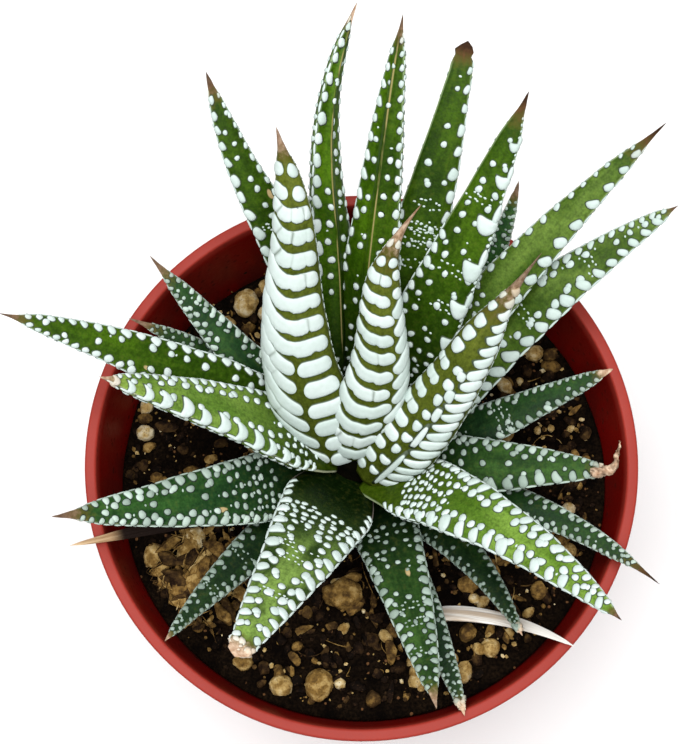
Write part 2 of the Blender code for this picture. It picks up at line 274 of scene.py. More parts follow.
def finish(shader, colour, normal, roughness, shine):
    """Give a material's shader all that makes its look."""
    feed(shader, {"Base Color": colour, "Normal": normal, "Roughness": roughness,
                  "Specular IOR Level": shine})


def new_material(name):
    """A material with its node tree and its Principled shader."""
    material = bpy.data.materials.new(name)
    material.use_nodes = True
    tree = material.node_tree
    return material, tree, tree.nodes["Principled BSDF"]


def read(tree, label, output="Fac"):
    """A number, or a Vector, that was written on the mesh."""
    return put(tree, "Attribute", {}, output, attribute_name=label)


def millimetres(tree):
    """The place on the object, counted in millimetres."""
    place = put(tree, "TexCoord", {}, "Object")
    return put(tree, "VectorMath", {0: place, 3: 1 / MM}, operation="SCALE")


def stretched(place, x, y, z):
    """A place whose three directions are scaled."""
    return put(place.tree, "VectorMath", {0: place, 1: (x, y, z)}, operation="MULTIPLY")


def mixed(factor, first, second, how="MIX"):
    """Two colours mixed by a factor."""
    tree = next(value.tree for value in (factor, first, second) if isinstance(value, Value))
    return put(tree, "Mix", {0: factor, 6: first, 7: second}, 2, data_type="RGBA", blend_type=how)


def ranged(value, low, high, out_low=0.0, out_high=1.0):
    """A value moved smoothly from one range to another."""
    inputs = {"Value": value, "From Min": low, "From Max": high, "To Min": out_low,
              "To Max": out_high}
    return put(value.tree, "MapRange", inputs, interpolation_type="SMOOTHSTEP")


def bump(height, strength, depth):
    """The normal for a height, with depth the height's full reach in metres."""
    inputs = {"Strength": strength, "Distance": depth, "Height": height}
    return put(height.tree, "Bump", inputs)


SOCKET_KINDS = {"Place": "Vector", "Color": "Color", "Foot": "Color", "Body": "Color",
                "Fresh": "Color", "Margin": "Color"}      # every other one is a number


def make_group(name, inputs, outputs):
    """An empty node group, with its inputs as a list of values and its output node."""
    group = bpy.data.node_groups.new(name, "ShaderNodeTree")
    for side, labels in (("INPUT", inputs), ("OUTPUT", outputs)):
        for label in labels.split():
            kind = "NodeSocket" + SOCKET_KINDS.get(label, "Float")
            group.interface.new_socket(label, in_out=side, socket_type=kind)
    taken = group.nodes.new("NodeGroupInput").outputs
    given = group.nodes.new("NodeGroupOutput")
    return group, [Value(taken[label]) for label in inputs.split()], given


def specks_group():
    """Scattered specks: a mask that is 1 on small spots of uneven size, over a share of them."""
    group, taken, given = make_group("specks", "Place Spacing Size Share", "Mask")
    place, spacing, size, share = taken
    scale = 1.0 / spacing
    cells = put(group, "TexVoronoi", {"Vector": place, "Scale": scale}, "Distance")
    chance = put(group, "SeparateColor", {0: cells.output("Color")})
    wobble = put(group, "TexNoise", {"Vector": place, "Scale": scale * 2.5}, "Fac")
    reach = size * (wobble + 0.5)
    feed(given, {"Mask": (chance < share) * ranged(cells, reach, reach * 0.7)})
    return group


def blotches_group():
    """Soft uneven blotches: a mask from 0 to 1 at a chosen size, stretched by the place it gets."""
    group, (place, size, contrast), given = make_group("blotches", "Place Size Contrast", "Mask")
    cloud = put(group, "TexNoise", {"Vector": place, "Scale": 1.0 / size, "Detail": 5.0,
                                    "Roughness": 0.55}, "Fac")
    feed(given, {"Mask": ranged(cloud, 0.5 - contrast, contrast + 0.5)})
    return group


SPECKS = specks_group()
BLOTCHES = blotches_group()


def specks(place, spacing, size, share):
    inputs = {"Place": place, "Spacing": spacing, "Size": size, "Share": share}
    return put(place.tree, "Group", inputs, node_tree=SPECKS)


def blotches(place, size, contrast):
    inputs = {"Place": place, "Size": size, "Contrast": contrast}
    return put(place.tree, "Group", inputs, node_tree=BLOTCHES)


def pot_material():
    material, tree, shader = new_material("coral_polypropylene")
    place = millimetres(tree)
    fine = blotches(place, 0.6, 0.35)
    colour = mixed(blotches(place, 14, 0.22) * 0.22, CORAL, CORAL_CLOUDS)
    flow = blotches(stretched(place, 1, 1, 0.12), 3, 0.3)
    colour = mixed(flow * 0.10, colour, CORAL_FLOW)
    # painted shade: the inside below the lip takes the darker red
    colour = mixed(read(tree, "inside"), colour, CORAL_INSIDE_SHADE)
    colour = mixed(read(tree, "lip") * (fine * 0.3 + 0.25), colour, CORAL_WORN)
    dust = specks(place, 1.6, 0.30, 0.55)
    smear = blotches(stretched(place, 1, 1, 0.5), 7, 0.12)
    dirt = (read(tree, "soiled") * (dust * 0.8 + smear * 0.55)).clamped()
    finish(shader, mixed(dirt, colour, PEAT_DUST), bump(fine * 0.5 + dirt, 0.25, 0.06 * MM),
           fine * 0.16 + 0.36 + dirt * 0.35, 0.12)
    return material


def pot_profile():
    band = POT_HEIGHT - BAND_HEIGHT
    lip = POT_HEIGHT - LIP_HEIGHT
    corners = (
        (FOOT_RADIUS - FOOT_BEVEL, 0), (FOOT_RADIUS, FOOT_BEVEL),
        (wall_radius(band - BAND_STEP), band - BAND_STEP), (wall_radius(band) + BAND_STEP, band),
        (wall_radius(lip) + BAND_STEP, lip), (RIM_RADIUS, lip + LIP_SLOPE),
        (RIM_RADIUS, POT_HEIGHT), (RIM_RADIUS - LIP_WIDTH, POT_HEIGHT),
        (inner_radius(lip), lip), (inner_radius(UNDER_MIX), UNDER_MIX),
        (inner_radius(FLOOR), FLOOR), (inner_radius(FLOOR) - FLOOR_EDGE, FLOOR))
    return rounded(corners, POT_ROUNDING)


def make_pot():
    verts, faces = turned(pot_profile(), POT_SIDES)
    pot = add_piece("nursery_pot", verts, faces, [pot_material()])
    cut_away(pot, drain_cutter(hole=False))
    cut_away(pot, drain_cutter(hole=True))
    pot.data.set_sharp_from_angle(angle=math.radians(POT_CREASE))
    places = np.array([vert.co for vert in pot.data.vertices])
    radius = np.hypot(places[:, 0], places[:, 1])
    height = places[:, 2]
    wall = np.array([inner_radius(level) for level in height])
    inside = (radius < wall + INSIDE_SLACK) & (height > FLOOR - 0.1 * MM)
    # painted shade: how far the darker inside has set in, from nothing at the lip to full just below
    # it
    deep = blend_in(POT_HEIGHT - INSIDE_SHADE_DEPTHS[0], POT_HEIGHT - INSIDE_SHADE_DEPTHS[1], height)
    lip = blend_in(POT_HEIGHT - LIP_WEAR_DEPTH, POT_HEIGHT, height) * (radius > wall)
    soiled = inside * (0.25 + 0.75 * blend_in(DUST_TOP, DUST_FULL, height))
    write_values(pot.data, {"inside": inside * deep, "lip": lip, "soiled": soiled})
    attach(pot, "root")
    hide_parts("pot")


make_pot()


# ---------------------------------------------------------------- potting mix
# Dark peat with tan pumice grains, bark chips and coconut fibres, poured round the roots. It
# lies lower at the back, and watering has washed a hollow round the stem. The grains, chips and
# fibres lie loose on the peat.

SOIL_LEVEL = 66.5 * MM
SOIL_FALL_BACK = 0.13
SOIL_RISE_RIGHT = 0.04
SOIL_DISH = 2 * MM
SOIL_DISH_RADIUS = 16 * MM
SOIL_BUMPS = 0.6 * MM
SOIL_BUMP_SPACING = 9 * MM
SOIL_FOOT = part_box("potting_mix")[0].z
SOIL_GAP = 0.35 * MM                 # between the mix and the pot
SOIL_SIDES = 200
SOIL_RINGS = 76
CLODS = ((3.2 * MM, 1.0 * MM), (1.3 * MM, 0.5 * MM), (0.55 * MM, 0.2 * MM))   # spacing, height
STEM_FOOT = Vector((-1, -9, 52)) * MM
STEM_TOP = Vector((-1, 3.5, 84)) * MM

PEAT_DARK = (0.0015, 0.0010, 0.0008)
PEAT_BROWN = (0.014, 0.0080, 0.0040)

# A grain's colours, from dark bark to pale pumice: tone and colour.
GRAIN_TONES = ((0.0, (0.003, 0.0017, 0.001)), (0.2, (0.012, 0.006, 0.003)),
               (0.4, (0.055, 0.030, 0.010)), (0.6, (0.20, 0.115, 0.030)),
               (0.8, (0.42, 0.29, 0.11)), (1.0, (0.60, 0.52, 0.34)))

# Loose pieces: how many, least and greatest size (mm), proportions, share buried, depth of the
# facets, darkest and palest tone.
Litter = namedtuple("Litter", "name count least most shape buried facets tones slot")
LITTER = (
    Litter("peat_crumbs", 1000, 1.0, 3.4, (1, 0.8, 0.65), 0.25, 0.32, (0.0, 0.34), "potting_mix"),
    Litter("bark_chips", 240, 2.2, 6.5, (1, 0.5, 0.3), 0.10, 0.5, (0.16, 0.58), "potting_mix"),
    Litter("bark_heap", 130, 2.5, 8.0, (1, 0.46, 0.36), -0.35, 0.40, (0.26, 0.70), "potting_mix"),
    Litter("grit", 700, 0.45, 1.4, (1, 0.8, 0.7), 0.1, 0.3, (0.42, 0.90), "pumice"),
    Litter("pumice_grains", 400, 0.9, 4.2, (1, 0.84, 0.76), 0.26, 0.20, (0.40, 0.92), "pumice"),
)
SIMPLE_LUMP = 1.7                    # below this size (mm) a lump needs few facets
LUMP_FLATS = 10
LUMP_CREASE = 38                     # edges sharper than this many degrees stay crisp
LUMP_TILT = 0.35                     # usual lean from level, in radians
HEAP_PLACE = Vector((-31, -20)) * MM      # a heap of fibrous bark
HEAP_REACH = 10 * MM
HEAP_LIFT = 1.6 * MM                 # the fibres on the heap lie this much higher
FIBRES = 130
FIBRE_POINTS = 9
FIBRE_SIDES = 5
WALL_CLEARANCE = 1.2 * MM            # the heap's bark keeps this much further from the pot


def stem_axis(height):
    share = (height - STEM_FOOT.z) / (STEM_TOP.z - STEM_FOOT.z)
    return STEM_FOOT.lerp(STEM_TOP, share)


def soil_height(x, y):
    """Height of the top of the mix, but for its clods."""
    away = math.hypot(x - STEM_FOOT.x, y - stem_axis(SOIL_LEVEL).y) / SOIL_DISH_RADIUS
    dish = SOIL_DISH * max(0, 1 - away) ** 0.5
    bumps = SOIL_BUMPS * noise.noise(Vector((x, y, 0)) / SOIL_BUMP_SPACING)
    return SOIL_LEVEL - SOIL_FALL_BACK * y + SOIL_RISE_RIGHT * x - dish + bumps


def peat_top(x, y):
    """Height of the top with its clods, which fade out at the wall."""
    fade = 1 - blend_in(0.90, 1.0, math.hypot(x, y) / inner_radius(SOIL_LEVEL))
    clods = sum(depth * noise.noise(Vector((x / spacing, y / spacing, spacing * 9000)))
                for spacing, depth in CLODS)
    return soil_height(x, y) + float(fade) * clods


def grain_group():
    """The skin of a mineral or bark grain: its colour from a tone, with pits and stains."""
    group, (place, tone), given = make_group("grain_skin", "Place Tone", "Color Height")
    fine = blotches(place, 0.35, 0.3)
    pits = specks(place, 0.45, 0.32, 0.5)
    tone = tone + (blotches(place, 1.5, 0.2) - 0.6) * 0.30
    ramp = put(group, "ValToRGB", {0: (tone + (fine - 0.5) * 0.10).clamped()})
    stops = ramp.socket.node.color_ramp.elements
    for spot, _ in GRAIN_TONES[1:-1]:
        stops.new(spot)
    for stop, (spot, shade) in zip(stops, GRAIN_TONES):
        stop.position = spot
        stop.color = (*shade, 1)
    feed(given, {"Color": mixed(pits * 0.5, ramp, (0.05, 0.025, 0.012)),
                 "Height": fine * 0.9 - pits})
    return group


GRAIN_SKIN = grain_group()


def grain_material(name, roughness):
    material, tree, shader = new_material(name)
    skin = put(tree, "Group", {"Place": millimetres(tree), "Tone": read(tree, "tone")}, "Color",
               node_tree=GRAIN_SKIN)
    finish(shader, skin, bump(skin.output("Height"), 0.5, 0.12 * MM), roughness, 0.06)
    return material


def peat_material():
    material, tree, shader = new_material("damp_peat")
    place = millimetres(tree)
    fine = blotches(place, 0.5, 0.25)
    colour = mixed(blotches(place, 4.0, 0.25) * fine, PEAT_DARK, PEAT_BROWN)
    colour = mixed(specks(place, 1.1, 0.3, 0.10) * 0.7, colour, (0.16, 0.075, 0.03))
    finish(shader, colour, bump(fine, 0.6, 0.25 * MM), 0.9, 0.02)
    return material


def make_peat():
    """The body of the mix: one closed solid with a cloddy top."""
    angles = [math.tau * i / SOIL_SIDES for i in range(SOIL_SIDES)]
    foot = inner_radius(SOIL_FOOT) - SOIL_GAP
    verts = [(foot * math.cos(a), foot * math.sin(a), SOIL_FOOT) for a in angles]
    edges = []
    for angle in angles:
        height = SOIL_LEVEL
        for _ in range(4):           # the wall tapers, so each pass brings the edge closer to it
            radius = inner_radius(height) - SOIL_GAP
            height = soil_height(radius * math.cos(angle), radius * math.sin(angle))
        edges.append(radius)
    for ring in range(SOIL_RINGS):
        share = 1 - ring / SOIL_RINGS
        for angle, radius in zip(angles, edges):
            x = share * radius * math.cos(angle)
            y = share * radius * math.sin(angle)
            verts.append((x, y, peat_top(x, y)))
    verts += [(0, 0, SOIL_FOOT), (0, 0, peat_top(0, 0))]
    faces = pointed_faces(SOIL_RINGS + 1, SOIL_SIDES)
    peat = add_piece("peat", verts, faces, [peat_material()])
    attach(peat, "root")
    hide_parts("potting_mix")


def ball(subdivisions):
    """Vertices and faces of an even ball of radius 1."""
    bm = bmesh.new()
    bmesh.ops.create_icosphere(bm, subdivisions=subdivisions, radius=1)
    verts = np.array([vert.co for vert in bm.verts])
    faces = np.array([[vert.index for vert in face.verts] for face in bm.faces])
    bm.free()
    return verts, faces


def broken_lump(verts, rng, facets):
    """A ball chipped flat on several sides, the flats as deep as facets says."""
    chipped = verts.copy()
    for _ in range(LUMP_FLATS):
        way = rng.normal(size=3)
        way /= np.linalg.norm(way)
        depth = 1 - facets * rng.uniform(0.4, 1.4)
        over = np.maximum(0, chipped @ way - depth)
        chipped -= over[:, None] * way
    return chipped


def random_turn(rng):
    """A turn about the vertical, with some tilt, as rows that multiply a vertex."""
    spin = Matrix.Rotation(rng.uniform(0, math.tau), 3, "Z")
    lean = Matrix.Rotation(rng.normal(0, LUMP_TILT), 3, "X")
    return np.array(spin @ lean)


def scatter_litter(kind, seed):
    """Strew one kind of loose piece over the mix, all as one mesh of separate lumps."""
    rng = np.random.default_rng(seed)
    simple, full = ball(1), ball(2)
    verts, faces, tones = [], [], []
    count = 0
    for _ in range(kind.count):
        angle = rng.uniform(0, math.tau)
        reach = math.sqrt(rng.uniform(0.012, 1))
        size = kind.least + (kind.most - kind.least) * rng.uniform() ** 2.2
        base, triangles = simple if size < SIMPLE_LUMP else full
        room = inner_radius(SOIL_LEVEL) - (0.8 + 0.45 * size) * MM
        x = reach * room * math.cos(angle)
        y = reach * room * math.sin(angle)
        if kind.name == "bark_heap":
            x = HEAP_PLACE.x + reach ** 1.5 * HEAP_REACH * math.cos(angle)
            y = HEAP_PLACE.y + reach ** 1.5 * HEAP_REACH * math.sin(angle)
            pull = min(1, (room - WALL_CLEARANCE) / math.hypot(x, y))
            x, y = x * pull, y * pull
        shape = np.array(kind.shape) * size * MM / 2 * rng.uniform(0.8, 1.15, 3)
        height = peat_top(x, y) + shape[2] * (1 - 2 * kind.buried)
        lump = broken_lump(base, rng, kind.facets) * shape @ random_turn(rng).T
        faces.append(triangles + count)
        count += len(base)
        verts.append(lump + (x, y, height))
        tones.append(np.full(len(base), rng.uniform(*kind.tones)))
    material = grain_material(kind.name, 0.85)
    piece = add_piece(kind.name, np.concatenate(verts), np.concatenate(faces).tolist(), [material],
                      values={"tone": np.concatenate(tones)})
    piece.data.set_sharp_from_angle(angle=math.radians(LUMP_CREASE))
    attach(piece, "root")


def blunt_faces(rings, sides):
    """Faces of a solid made of rings, with the first and the last filled flat."""
    ends = [tuple(reversed(range(sides))), tuple(range((rings - 1) * sides, rings * sides))]
    return wall_faces(rings, sides) + ends


def tube(line, radii, sides):
    """Vertices and faces of a closed tube along a line of points."""
    verts = []
    for index, (point, radius) in enumerate(zip(line, radii)):
        ahead = line[min(index + 1, len(line) - 1)] - line[max(index - 1, 0)]
        turn = ahead.to_track_quat("Z", "Y").to_matrix()
        for side in range(sides):
            angle = math.tau * side / sides
            spoke = Vector((radius * math.cos(angle), radius * math.sin(angle), 0))
            verts.append(point + turn @ spoke)
    return verts, blunt_faces(len(line), sides)


def scatter_fibres(seed):
    """Thin curved fibres and root hairs that lie on the mix, a third of them on the heap."""
    rng = np.random.default_rng(seed)
    verts, faces, tones = [], [], []
    last = FIBRE_POINTS - 1
    for strand_number in range(FIBRES):
        on_heap = strand_number < FIBRES / 3
        angle = rng.uniform(0, math.tau)
        reach = math.sqrt(rng.uniform(0.05, 0.85)) * inner_radius(SOIL_LEVEL)
        point = Vector((reach * math.cos(angle), reach * math.sin(angle), 0))
        if on_heap:
            point = HEAP_PLACE.to_3d() + point * 0.2
        heading = rng.uniform(0, math.tau)
        curl = rng.normal(0, 0.22)
        step = rng.uniform(0.4, 1.0) * MM
        line = []
        for index in range(FIBRE_POINTS):
            lift = 0.3 * MM + 0.5 * MM * math.sin(index / last * math.pi)
            lift += (HEAP_LIFT if on_heap else 0)
            line.append(Vector((point.x, point.y, peat_top(point.x, point.y) + lift)))
            heading += curl
            point = point + Vector((math.cos(heading), math.sin(heading), 0)) * step
            if point.xy.length > inner_radius(SOIL_LEVEL) - 1.5 * MM:
                point *= 0.97
        thick = rng.uniform(0.08, 0.2) * MM
        radii = [thick * (1 - 0.6 * abs(2 * index / last - 1)) for index in range(FIBRE_POINTS)]
        strand, walls = tube(line, radii, FIBRE_SIDES)
        faces += [tuple(corner + len(verts) for corner in wall) for wall in walls]
        verts += strand
        tones += [rng.uniform(0.25, 0.8)] * len(strand)
    material = grain_material("fibre", 0.8)
    piece = add_piece("fibres", verts, faces, [material], values={"tone": tones})
    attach(piece, "root")


make_peat()
for litter_seed, litter in enumerate(LITTER):
    scatter_litter(litter, 11 + litter_seed)
scatter_fibres(29)


# ---------------------------------------------------------------- stones
# The larger lumps of pumice and bark that lie loose on the mix, rounded by wear and pitted. Each
# sits where the frame has it, pressed a little into the peat.

# The lumps' tones, from dark bark to pale pumice, in the frame's order.
STONE_TONES = (0.58, 0.66, 0.76, 0.66, 0.78, 0.72, 0.86, 0.98, 0.92, 0.84, 0.74, 0.78, 0.70, 0.74)
STONE_FACETS = 0.13
STONE_FILL = 0.99                    # the share of its box that a stone fills


def make_stones():
    rng = np.random.default_rng(5)
    base, triangles = ball(4)
    material = grain_material("pumice_stone", 0.9)
    for index, tone in enumerate(STONE_TONES, 1):
        low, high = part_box(f"stone_{index}")
        half = np.array(high - low) / 2
        middle = np.array(high + low) / 2
        lump = broken_lump(base, rng, STONE_FACETS)
        dents = [1 + 0.10 * noise.noise(Vector(way) * 2.2 + Vector((index * 7, 0, 0)))
                 + 0.05 * noise.noise(Vector(way) * 6 + Vector((index * 7, 3, 0))) for way in base]
        lump = lump * np.array(dents)[:, None]
        lump *= half / np.abs(lump).max(axis=0) * STONE_FILL
        tones = tone + 0.14 * np.array([noise.noise(Vector(way) * 1.5 + Vector((0, index, 0)))
                                        for way in base])
        stone = add_piece(f"loose_stone_{index}", lump + middle, triangles.tolist(), [material],
                          values={"tone": tones})
        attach(stone, "root")
        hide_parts(f"stone_{index}")


make_stones()


# ---------------------------------------------------------------- stem
# The short stem that the leaves grow from, leaning towards the light: woody, ringed by the scars
# of leaves that have dropped, its dull green painted down to near black as painted shade for the
# heart of the rosette. Only its foot and the heart of the rosette show.

STEM_RADII = (6.5 * MM, 4.5 * MM)
STEM_RINGS = 40
STEM_SIDES = 40
STEM_SCARS = 12
STEM_FILL = 0.97                     # the share of the frame's stem that it fills


def painted_shade_stem_material():
    material, tree, shader = new_material("woody_stem_in_painted_shade")
    place = millimetres(tree)
    fine = blotches(stretched(place, 2, 2, 0.5), 0.6, 0.3)
    # painted shade: the stem's colours are near black, for the shade in the heart of the rosette
    colour = mixed(blotches(place, 2.5, 0.2), (0.0012, 0.0016, 0.0006), (0.004, 0.003, 0.0015))
    colour = mixed(fine * 0.4, colour, (0.003, 0.002, 0.001))
    finish(shader, colour, bump(fine, 0.6, 0.2 * MM), 0.8, 0.02)
    return material


def make_stem():
    line, radii = [], []
    for ring in range(STEM_RINGS):
        share = ring / (STEM_RINGS - 1)
        scars = 1 - 0.05 * (0.5 + 0.5 * math.cos(share * STEM_SCARS * math.tau)) ** 4
        dome = math.sqrt(max(0.01, 1 - max(0, (share - 0.88) / 0.13) ** 2))
        radius = STEM_RADII[0] + (STEM_RADII[1] - STEM_RADII[0]) * share
        line.append(STEM_FOOT.lerp(STEM_TOP, share))
        radii.append(radius * scars * dome * STEM_FILL)
    verts, faces = tube(line, radii, STEM_SIDES)
    stem = add_piece("woody_stem_in_painted_shade", verts, faces, [painted_shade_stem_material()])
    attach(stem, "root")
    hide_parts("stem")


make_stem()


# ---------------------------------------------------------------- how a leaf is formed
# A leaf is one thick, fleshy piece with a flattish upper face, a rounder back with a blunt keel,
# and two margins that meet in a dried tip. Pale warts of hard skin stand on it.

LEAF_PEAK = 0.22                     # the share of its length where a leaf is widest
LEAF_FOOT_WIDTH = 0.66
LEAF_TAPER = 0.70
LEAF_THINNING = 0.50
LEAF_TOP_BULGE = 0.22                # the share of its thickness above the margins
LEAF_BEND = 0.8
LEAF_SWING = 1.3
LEAF_STATIONS = 84
LEAF_SIDES = 36
LEAF_FILL = 0.996                    # the share of the frame's length that the leaf fills
OUTLINE_POINTS = 240
LAST_SHARE = 0.985                   # nothing is set on a leaf beyond this share
FAR_OFF = 9                          # a distance (mm) that counts as far from margin and fold
OWN_SHIFT = 40                       # shifts the blotches (mm) so that no two leaves match
WART_RIPPLES = (0.07, 0.05)          # how far a wart's outline departs from round
CLUSTER_SPECKS = 11

# How a leaf grows. Angles are in degrees round the stem, lengths in mm.
#   side, rise, reach: where its foot is: compass angle, height and distance from the axis
#   face: the compass angle that its back looks to
#   heading, lean: its compass angle and its lean from upright, at foot and tip
#   length, width, thick, twist: its size, and its turn about its own length at foot and tip
#   sway: how far it swings aside between foot and tip
Leaf = namedtuple("Leaf", "name side rise reach face heading lean length width thick twist dress "
                  "sway", defaults=(0,))

# How a leaf is dressed. Bare, middle and clear are shares of its length, lengths are in mm.
#   bare, middle: its warts start at the first and are full-grown from the second
#   fine, coarse: their size at first and full-grown
#   abreast, gap, skip: how many stand abreast at most once full-grown (0 for none), the gap
#     between them and the share left out
#   left, right, hook: length of the lumps on either margin, and how far they hook round or,
#     below 0, lie over
#   tip, bleach, blunt: length of the dried tip, its paleness, and its bluntness, which is
#     below 0 for a thorn
#   shade, fold: how light the skin is, and the place of a lengthwise fold (0 for none)
#   specks: the number of clusters of specks
#   clear, apart: where the left margin turns smooth, and the gap between the margins' lumps
Dress = namedtuple(
    "Dress", "bare middle fine coarse abreast gap skip left right hook tip bleach blunt shade "
    "fold specks clear apart", defaults=(0.2, 0.5, 0.8, 1.4, 3, 0.9, 0.1, 1.8, 1.8, 0, 3, 0.2, 0,
                                         1, 0, 0, 1, 0.35))

# A wart's share and place round the leaf, half sizes along and across (mm), turn, the rise of its
# ends (mm), squareness and height (mm); and a grown-together band: per step its distance along
# the leaf, place across the back, half width, height (mm) and how creased it is there.
Wart = namedtuple("Wart", "share turn_round along across turn bend corner height")
Ribbon = namedtuple("Ribbon", "ahead places halves heights creased")
RIBBON_CUT = ((-1.14, -0.08), (-1, 0.12), (-0.96, 0.5), (-0.78, 0.88), (-0.35, 1), (0.35, 1),
              (0.78, 0.88), (0.96, 0.5), (1, 0.12), (1.14, -0.08))    # reach and rise
SEAM_SHADOW = 0.20                          # width of the dark seam of painted shadow round a wart (mm), half of it sunk


def growth(heading, lean):
    flat = math.sin(math.radians(lean))
    turn = math.radians(heading)
    return Vector((flat * math.cos(turn), flat * math.sin(turn), math.cos(math.radians(lean))))


def leaf_spine(leaf, steps):
    """Centre, width direction and upward direction at steps + 1 stations."""
    outward = growth(leaf.side, 90)
    back = growth(leaf.face, 90)
    start = growth(leaf.heading[0], leaf.lean[0])
    end = growth(leaf.heading[1], leaf.lean[1])
    centre = stem_axis(leaf.rise * MM) + outward * leaf.reach * MM
    stations = []
    for step in range(steps + 1):
        share = step / steps
        along = start.slerp(end, share ** LEAF_BEND)
        tilt = math.atan2(along.dot(back), along.z)
        upper = Vector((0, 0, math.sin(tilt))) - back * math.cos(tilt)
        upper = (upper - along * upper.dot(along)).normalized()
        twist = math.radians(leaf.twist[0] + (leaf.twist[1] - leaf.twist[0]) * share)
        upper = Matrix.Rotation(-twist, 3, along) @ upper
        across = along.cross(upper)
        swing = leaf.sway * MM * math.sin(math.tau * share ** LEAF_SWING)
        stations.append((centre - across * swing, across, upper))
        middle = start.slerp(end, ((step + 0.5) / steps) ** LEAF_BEND)
        centre += middle * (leaf.length * MM * LEAF_FILL / steps)
    return stations


def leaf_taper(share, power):
    if share < LEAF_PEAK:
        swell = math.sin(share / LEAF_PEAK * math.pi / 2)
        return LEAF_FOOT_WIDTH + (1 - LEAF_FOOT_WIDTH) * swell
    return ((1 - share) / (1 - LEAF_PEAK)) ** power


class LeafSurface:
    """The skin of one leaf as an even grid: stations from foot to tip, and places round it. A
    place round the leaf is 0 at its right margin, 1 at its left one and 1 to 2 over its back."""

    def __init__(self, leaf, seed):
        self.leaf = leaf
        self.length = leaf.length * LEAF_FILL
        sweep = np.arange(OUTLINE_POINTS) / OUTLINE_POINTS * math.tau
        stations = leaf_spine(leaf, LEAF_STATIONS)
        self.points = np.zeros((LEAF_STATIONS + 1, LEAF_SIDES, 3))
        self.local = np.zeros((LEAF_STATIONS + 1, LEAF_SIDES, 3))
        self.arcs = np.zeros((LEAF_STATIONS + 1, 2))
        for row, (centre, across, upper) in enumerate(stations):
            share = row / LEAF_STATIONS
            x, z = self.section(share, sweep)
            self.place_ring(row, share, sweep, x, z, seed)
            ring = np.outer(self.local[row, :, 0], across) + np.outer(self.local[row, :, 2], upper)
            self.points[row] = np.array(centre) + ring * MM
        self.find_normals()

    def section(self, share, sweep):
        """The cut across the leaf, in millimetres: width and height at each angle."""
        leaf, dress = self.leaf, self.leaf.dress
        dry = self.dryness(share)
        shrunk = 1 - (0.42 - 0.45 * dress.blunt) * dry
        drawn_out = share - 0.08 * max(0, dress.blunt) * share ** 3
        half = leaf.width / 2 * leaf_taper(drawn_out, LEAF_TAPER) * shrunk
        if dress.blunt > 0:
            half *= math.sqrt(1 - max(0.0, 1 - (1 - share) * self.length / 3.6) ** 2)
        thick = leaf.thick * leaf_taper(share, LEAF_THINNING) * (1 - 0.45 * dry)
        sines, cosines = np.sin(sweep), np.cos(sweep)
        rise = thick * LEAF_TOP_BULGE
        belly = thick * (1 - LEAF_TOP_BULGE)
        trough = 0.16 * thick * max(0.0, 1 - share / 0.5)
        top = rise * np.abs(sines) ** 0.9 - trough * (1 - cosines ** 2) ** 3
        keel = 0.10 * belly * np.exp(-(cosines / 0.16) ** 2)
        if dress.fold:
            top += 0.30 * thick * np.exp(-((cosines + 2 * dress.fold - 1) / 0.22) ** 2) * sines
        under = -(belly * np.abs(sines) ** 1.05 + keel)
        z = np.where(sines > 0, top, under)
        return half * cosines, z

    def place_ring(self, row, share, sweep, x, z, seed):
        """Space the vertices of one ring evenly over the upper face and over the back."""
        half = len(sweep) // 2
        spots = []
        for face in (0, 1):
            picks = np.arange(face * half, face * half + half + 1) % len(sweep)
            steps = np.hypot(np.diff(x[picks]), np.diff(z[picks]))
            run = np.concatenate(([0], np.cumsum(steps)))
            self.arcs[row, face] = max(run[-1], 1e-4)
            wanted = np.linspace(0, run[-1], LEAF_SIDES // 2, endpoint=False)
            places = np.interp(wanted, run, np.arange(len(picks)))
            spots.append(np.stack((np.interp(places, np.arange(len(picks)), x[picks]),
                                   np.interp(places, np.arange(len(picks)), z[picks])), axis=1))
        ring = np.concatenate(spots)
        dry = self.dryness(share)
        for column, (wide, high) in enumerate(ring):
            spot = Vector((wide / 5, share * self.length / 6, high / 5 + seed * 3.7))
            swell = 1 + 0.045 * noise.noise(spot)
            swell += (0.30 + 0.35 * self.leaf.dress.blunt) * dry * noise.noise(spot * 6)
            self.local[row, column] = (wide * swell, share * self.length, high * swell)

    def dryness(self, share):
        """How dried the leaf is at a share of its length: 0 on living skin, 1 at the very tip."""
        left = (1 - share) * self.length
        return float(blend_in(2.1 * self.leaf.dress.tip, 0.15 * self.leaf.dress.tip, left))

    def find_normals(self):
        along = np.gradient(self.points, axis=0)
        around = np.roll(self.points, -1, axis=1) - np.roll(self.points, 1, axis=1)
        normals = np.cross(around, along)
        size = np.linalg.norm(normals, axis=2, keepdims=True)
        self.normals = -normals / np.maximum(size, 1e-12)

    def sample(self, grid, share, round_place):
        """Values of a grid at fractional places."""
        row = np.clip(share, 0, LAST_SHARE) * LEAF_STATIONS
        column = np.mod(round_place, 2) * LEAF_SIDES / 2
        r0 = np.minimum(row.astype(int), LEAF_STATIONS - 1)
        c0 = column.astype(int) % LEAF_SIDES
        c1 = (c0 + 1) % LEAF_SIDES
        down = (row - r0)[..., None]
        side = (column - np.floor(column))[..., None]
        near = grid[r0, c0] * (1 - side) + grid[r0, c1] * side
        far = grid[r0 + 1, c0] * (1 - side) + grid[r0 + 1, c1] * side
        return near * (1 - down) + far * down

    def raised(self, share, round_place, lift):
        """Points that lie some millimetres above the skin, and their places on the leaf."""
        points = self.sample(self.points, share, round_place)
        normals = self.sample(self.normals, share, round_place)
        local = self.sample(self.local, share, round_place)
        return points + normals * (lift[..., None] * MM), local

    def room(self, share, face):
        """The way in millimetres from margin to margin, over the upper face (0) or back (1)."""
        return self.arcs[min(int(share * LEAF_STATIONS), LEAF_STATIONS), face]

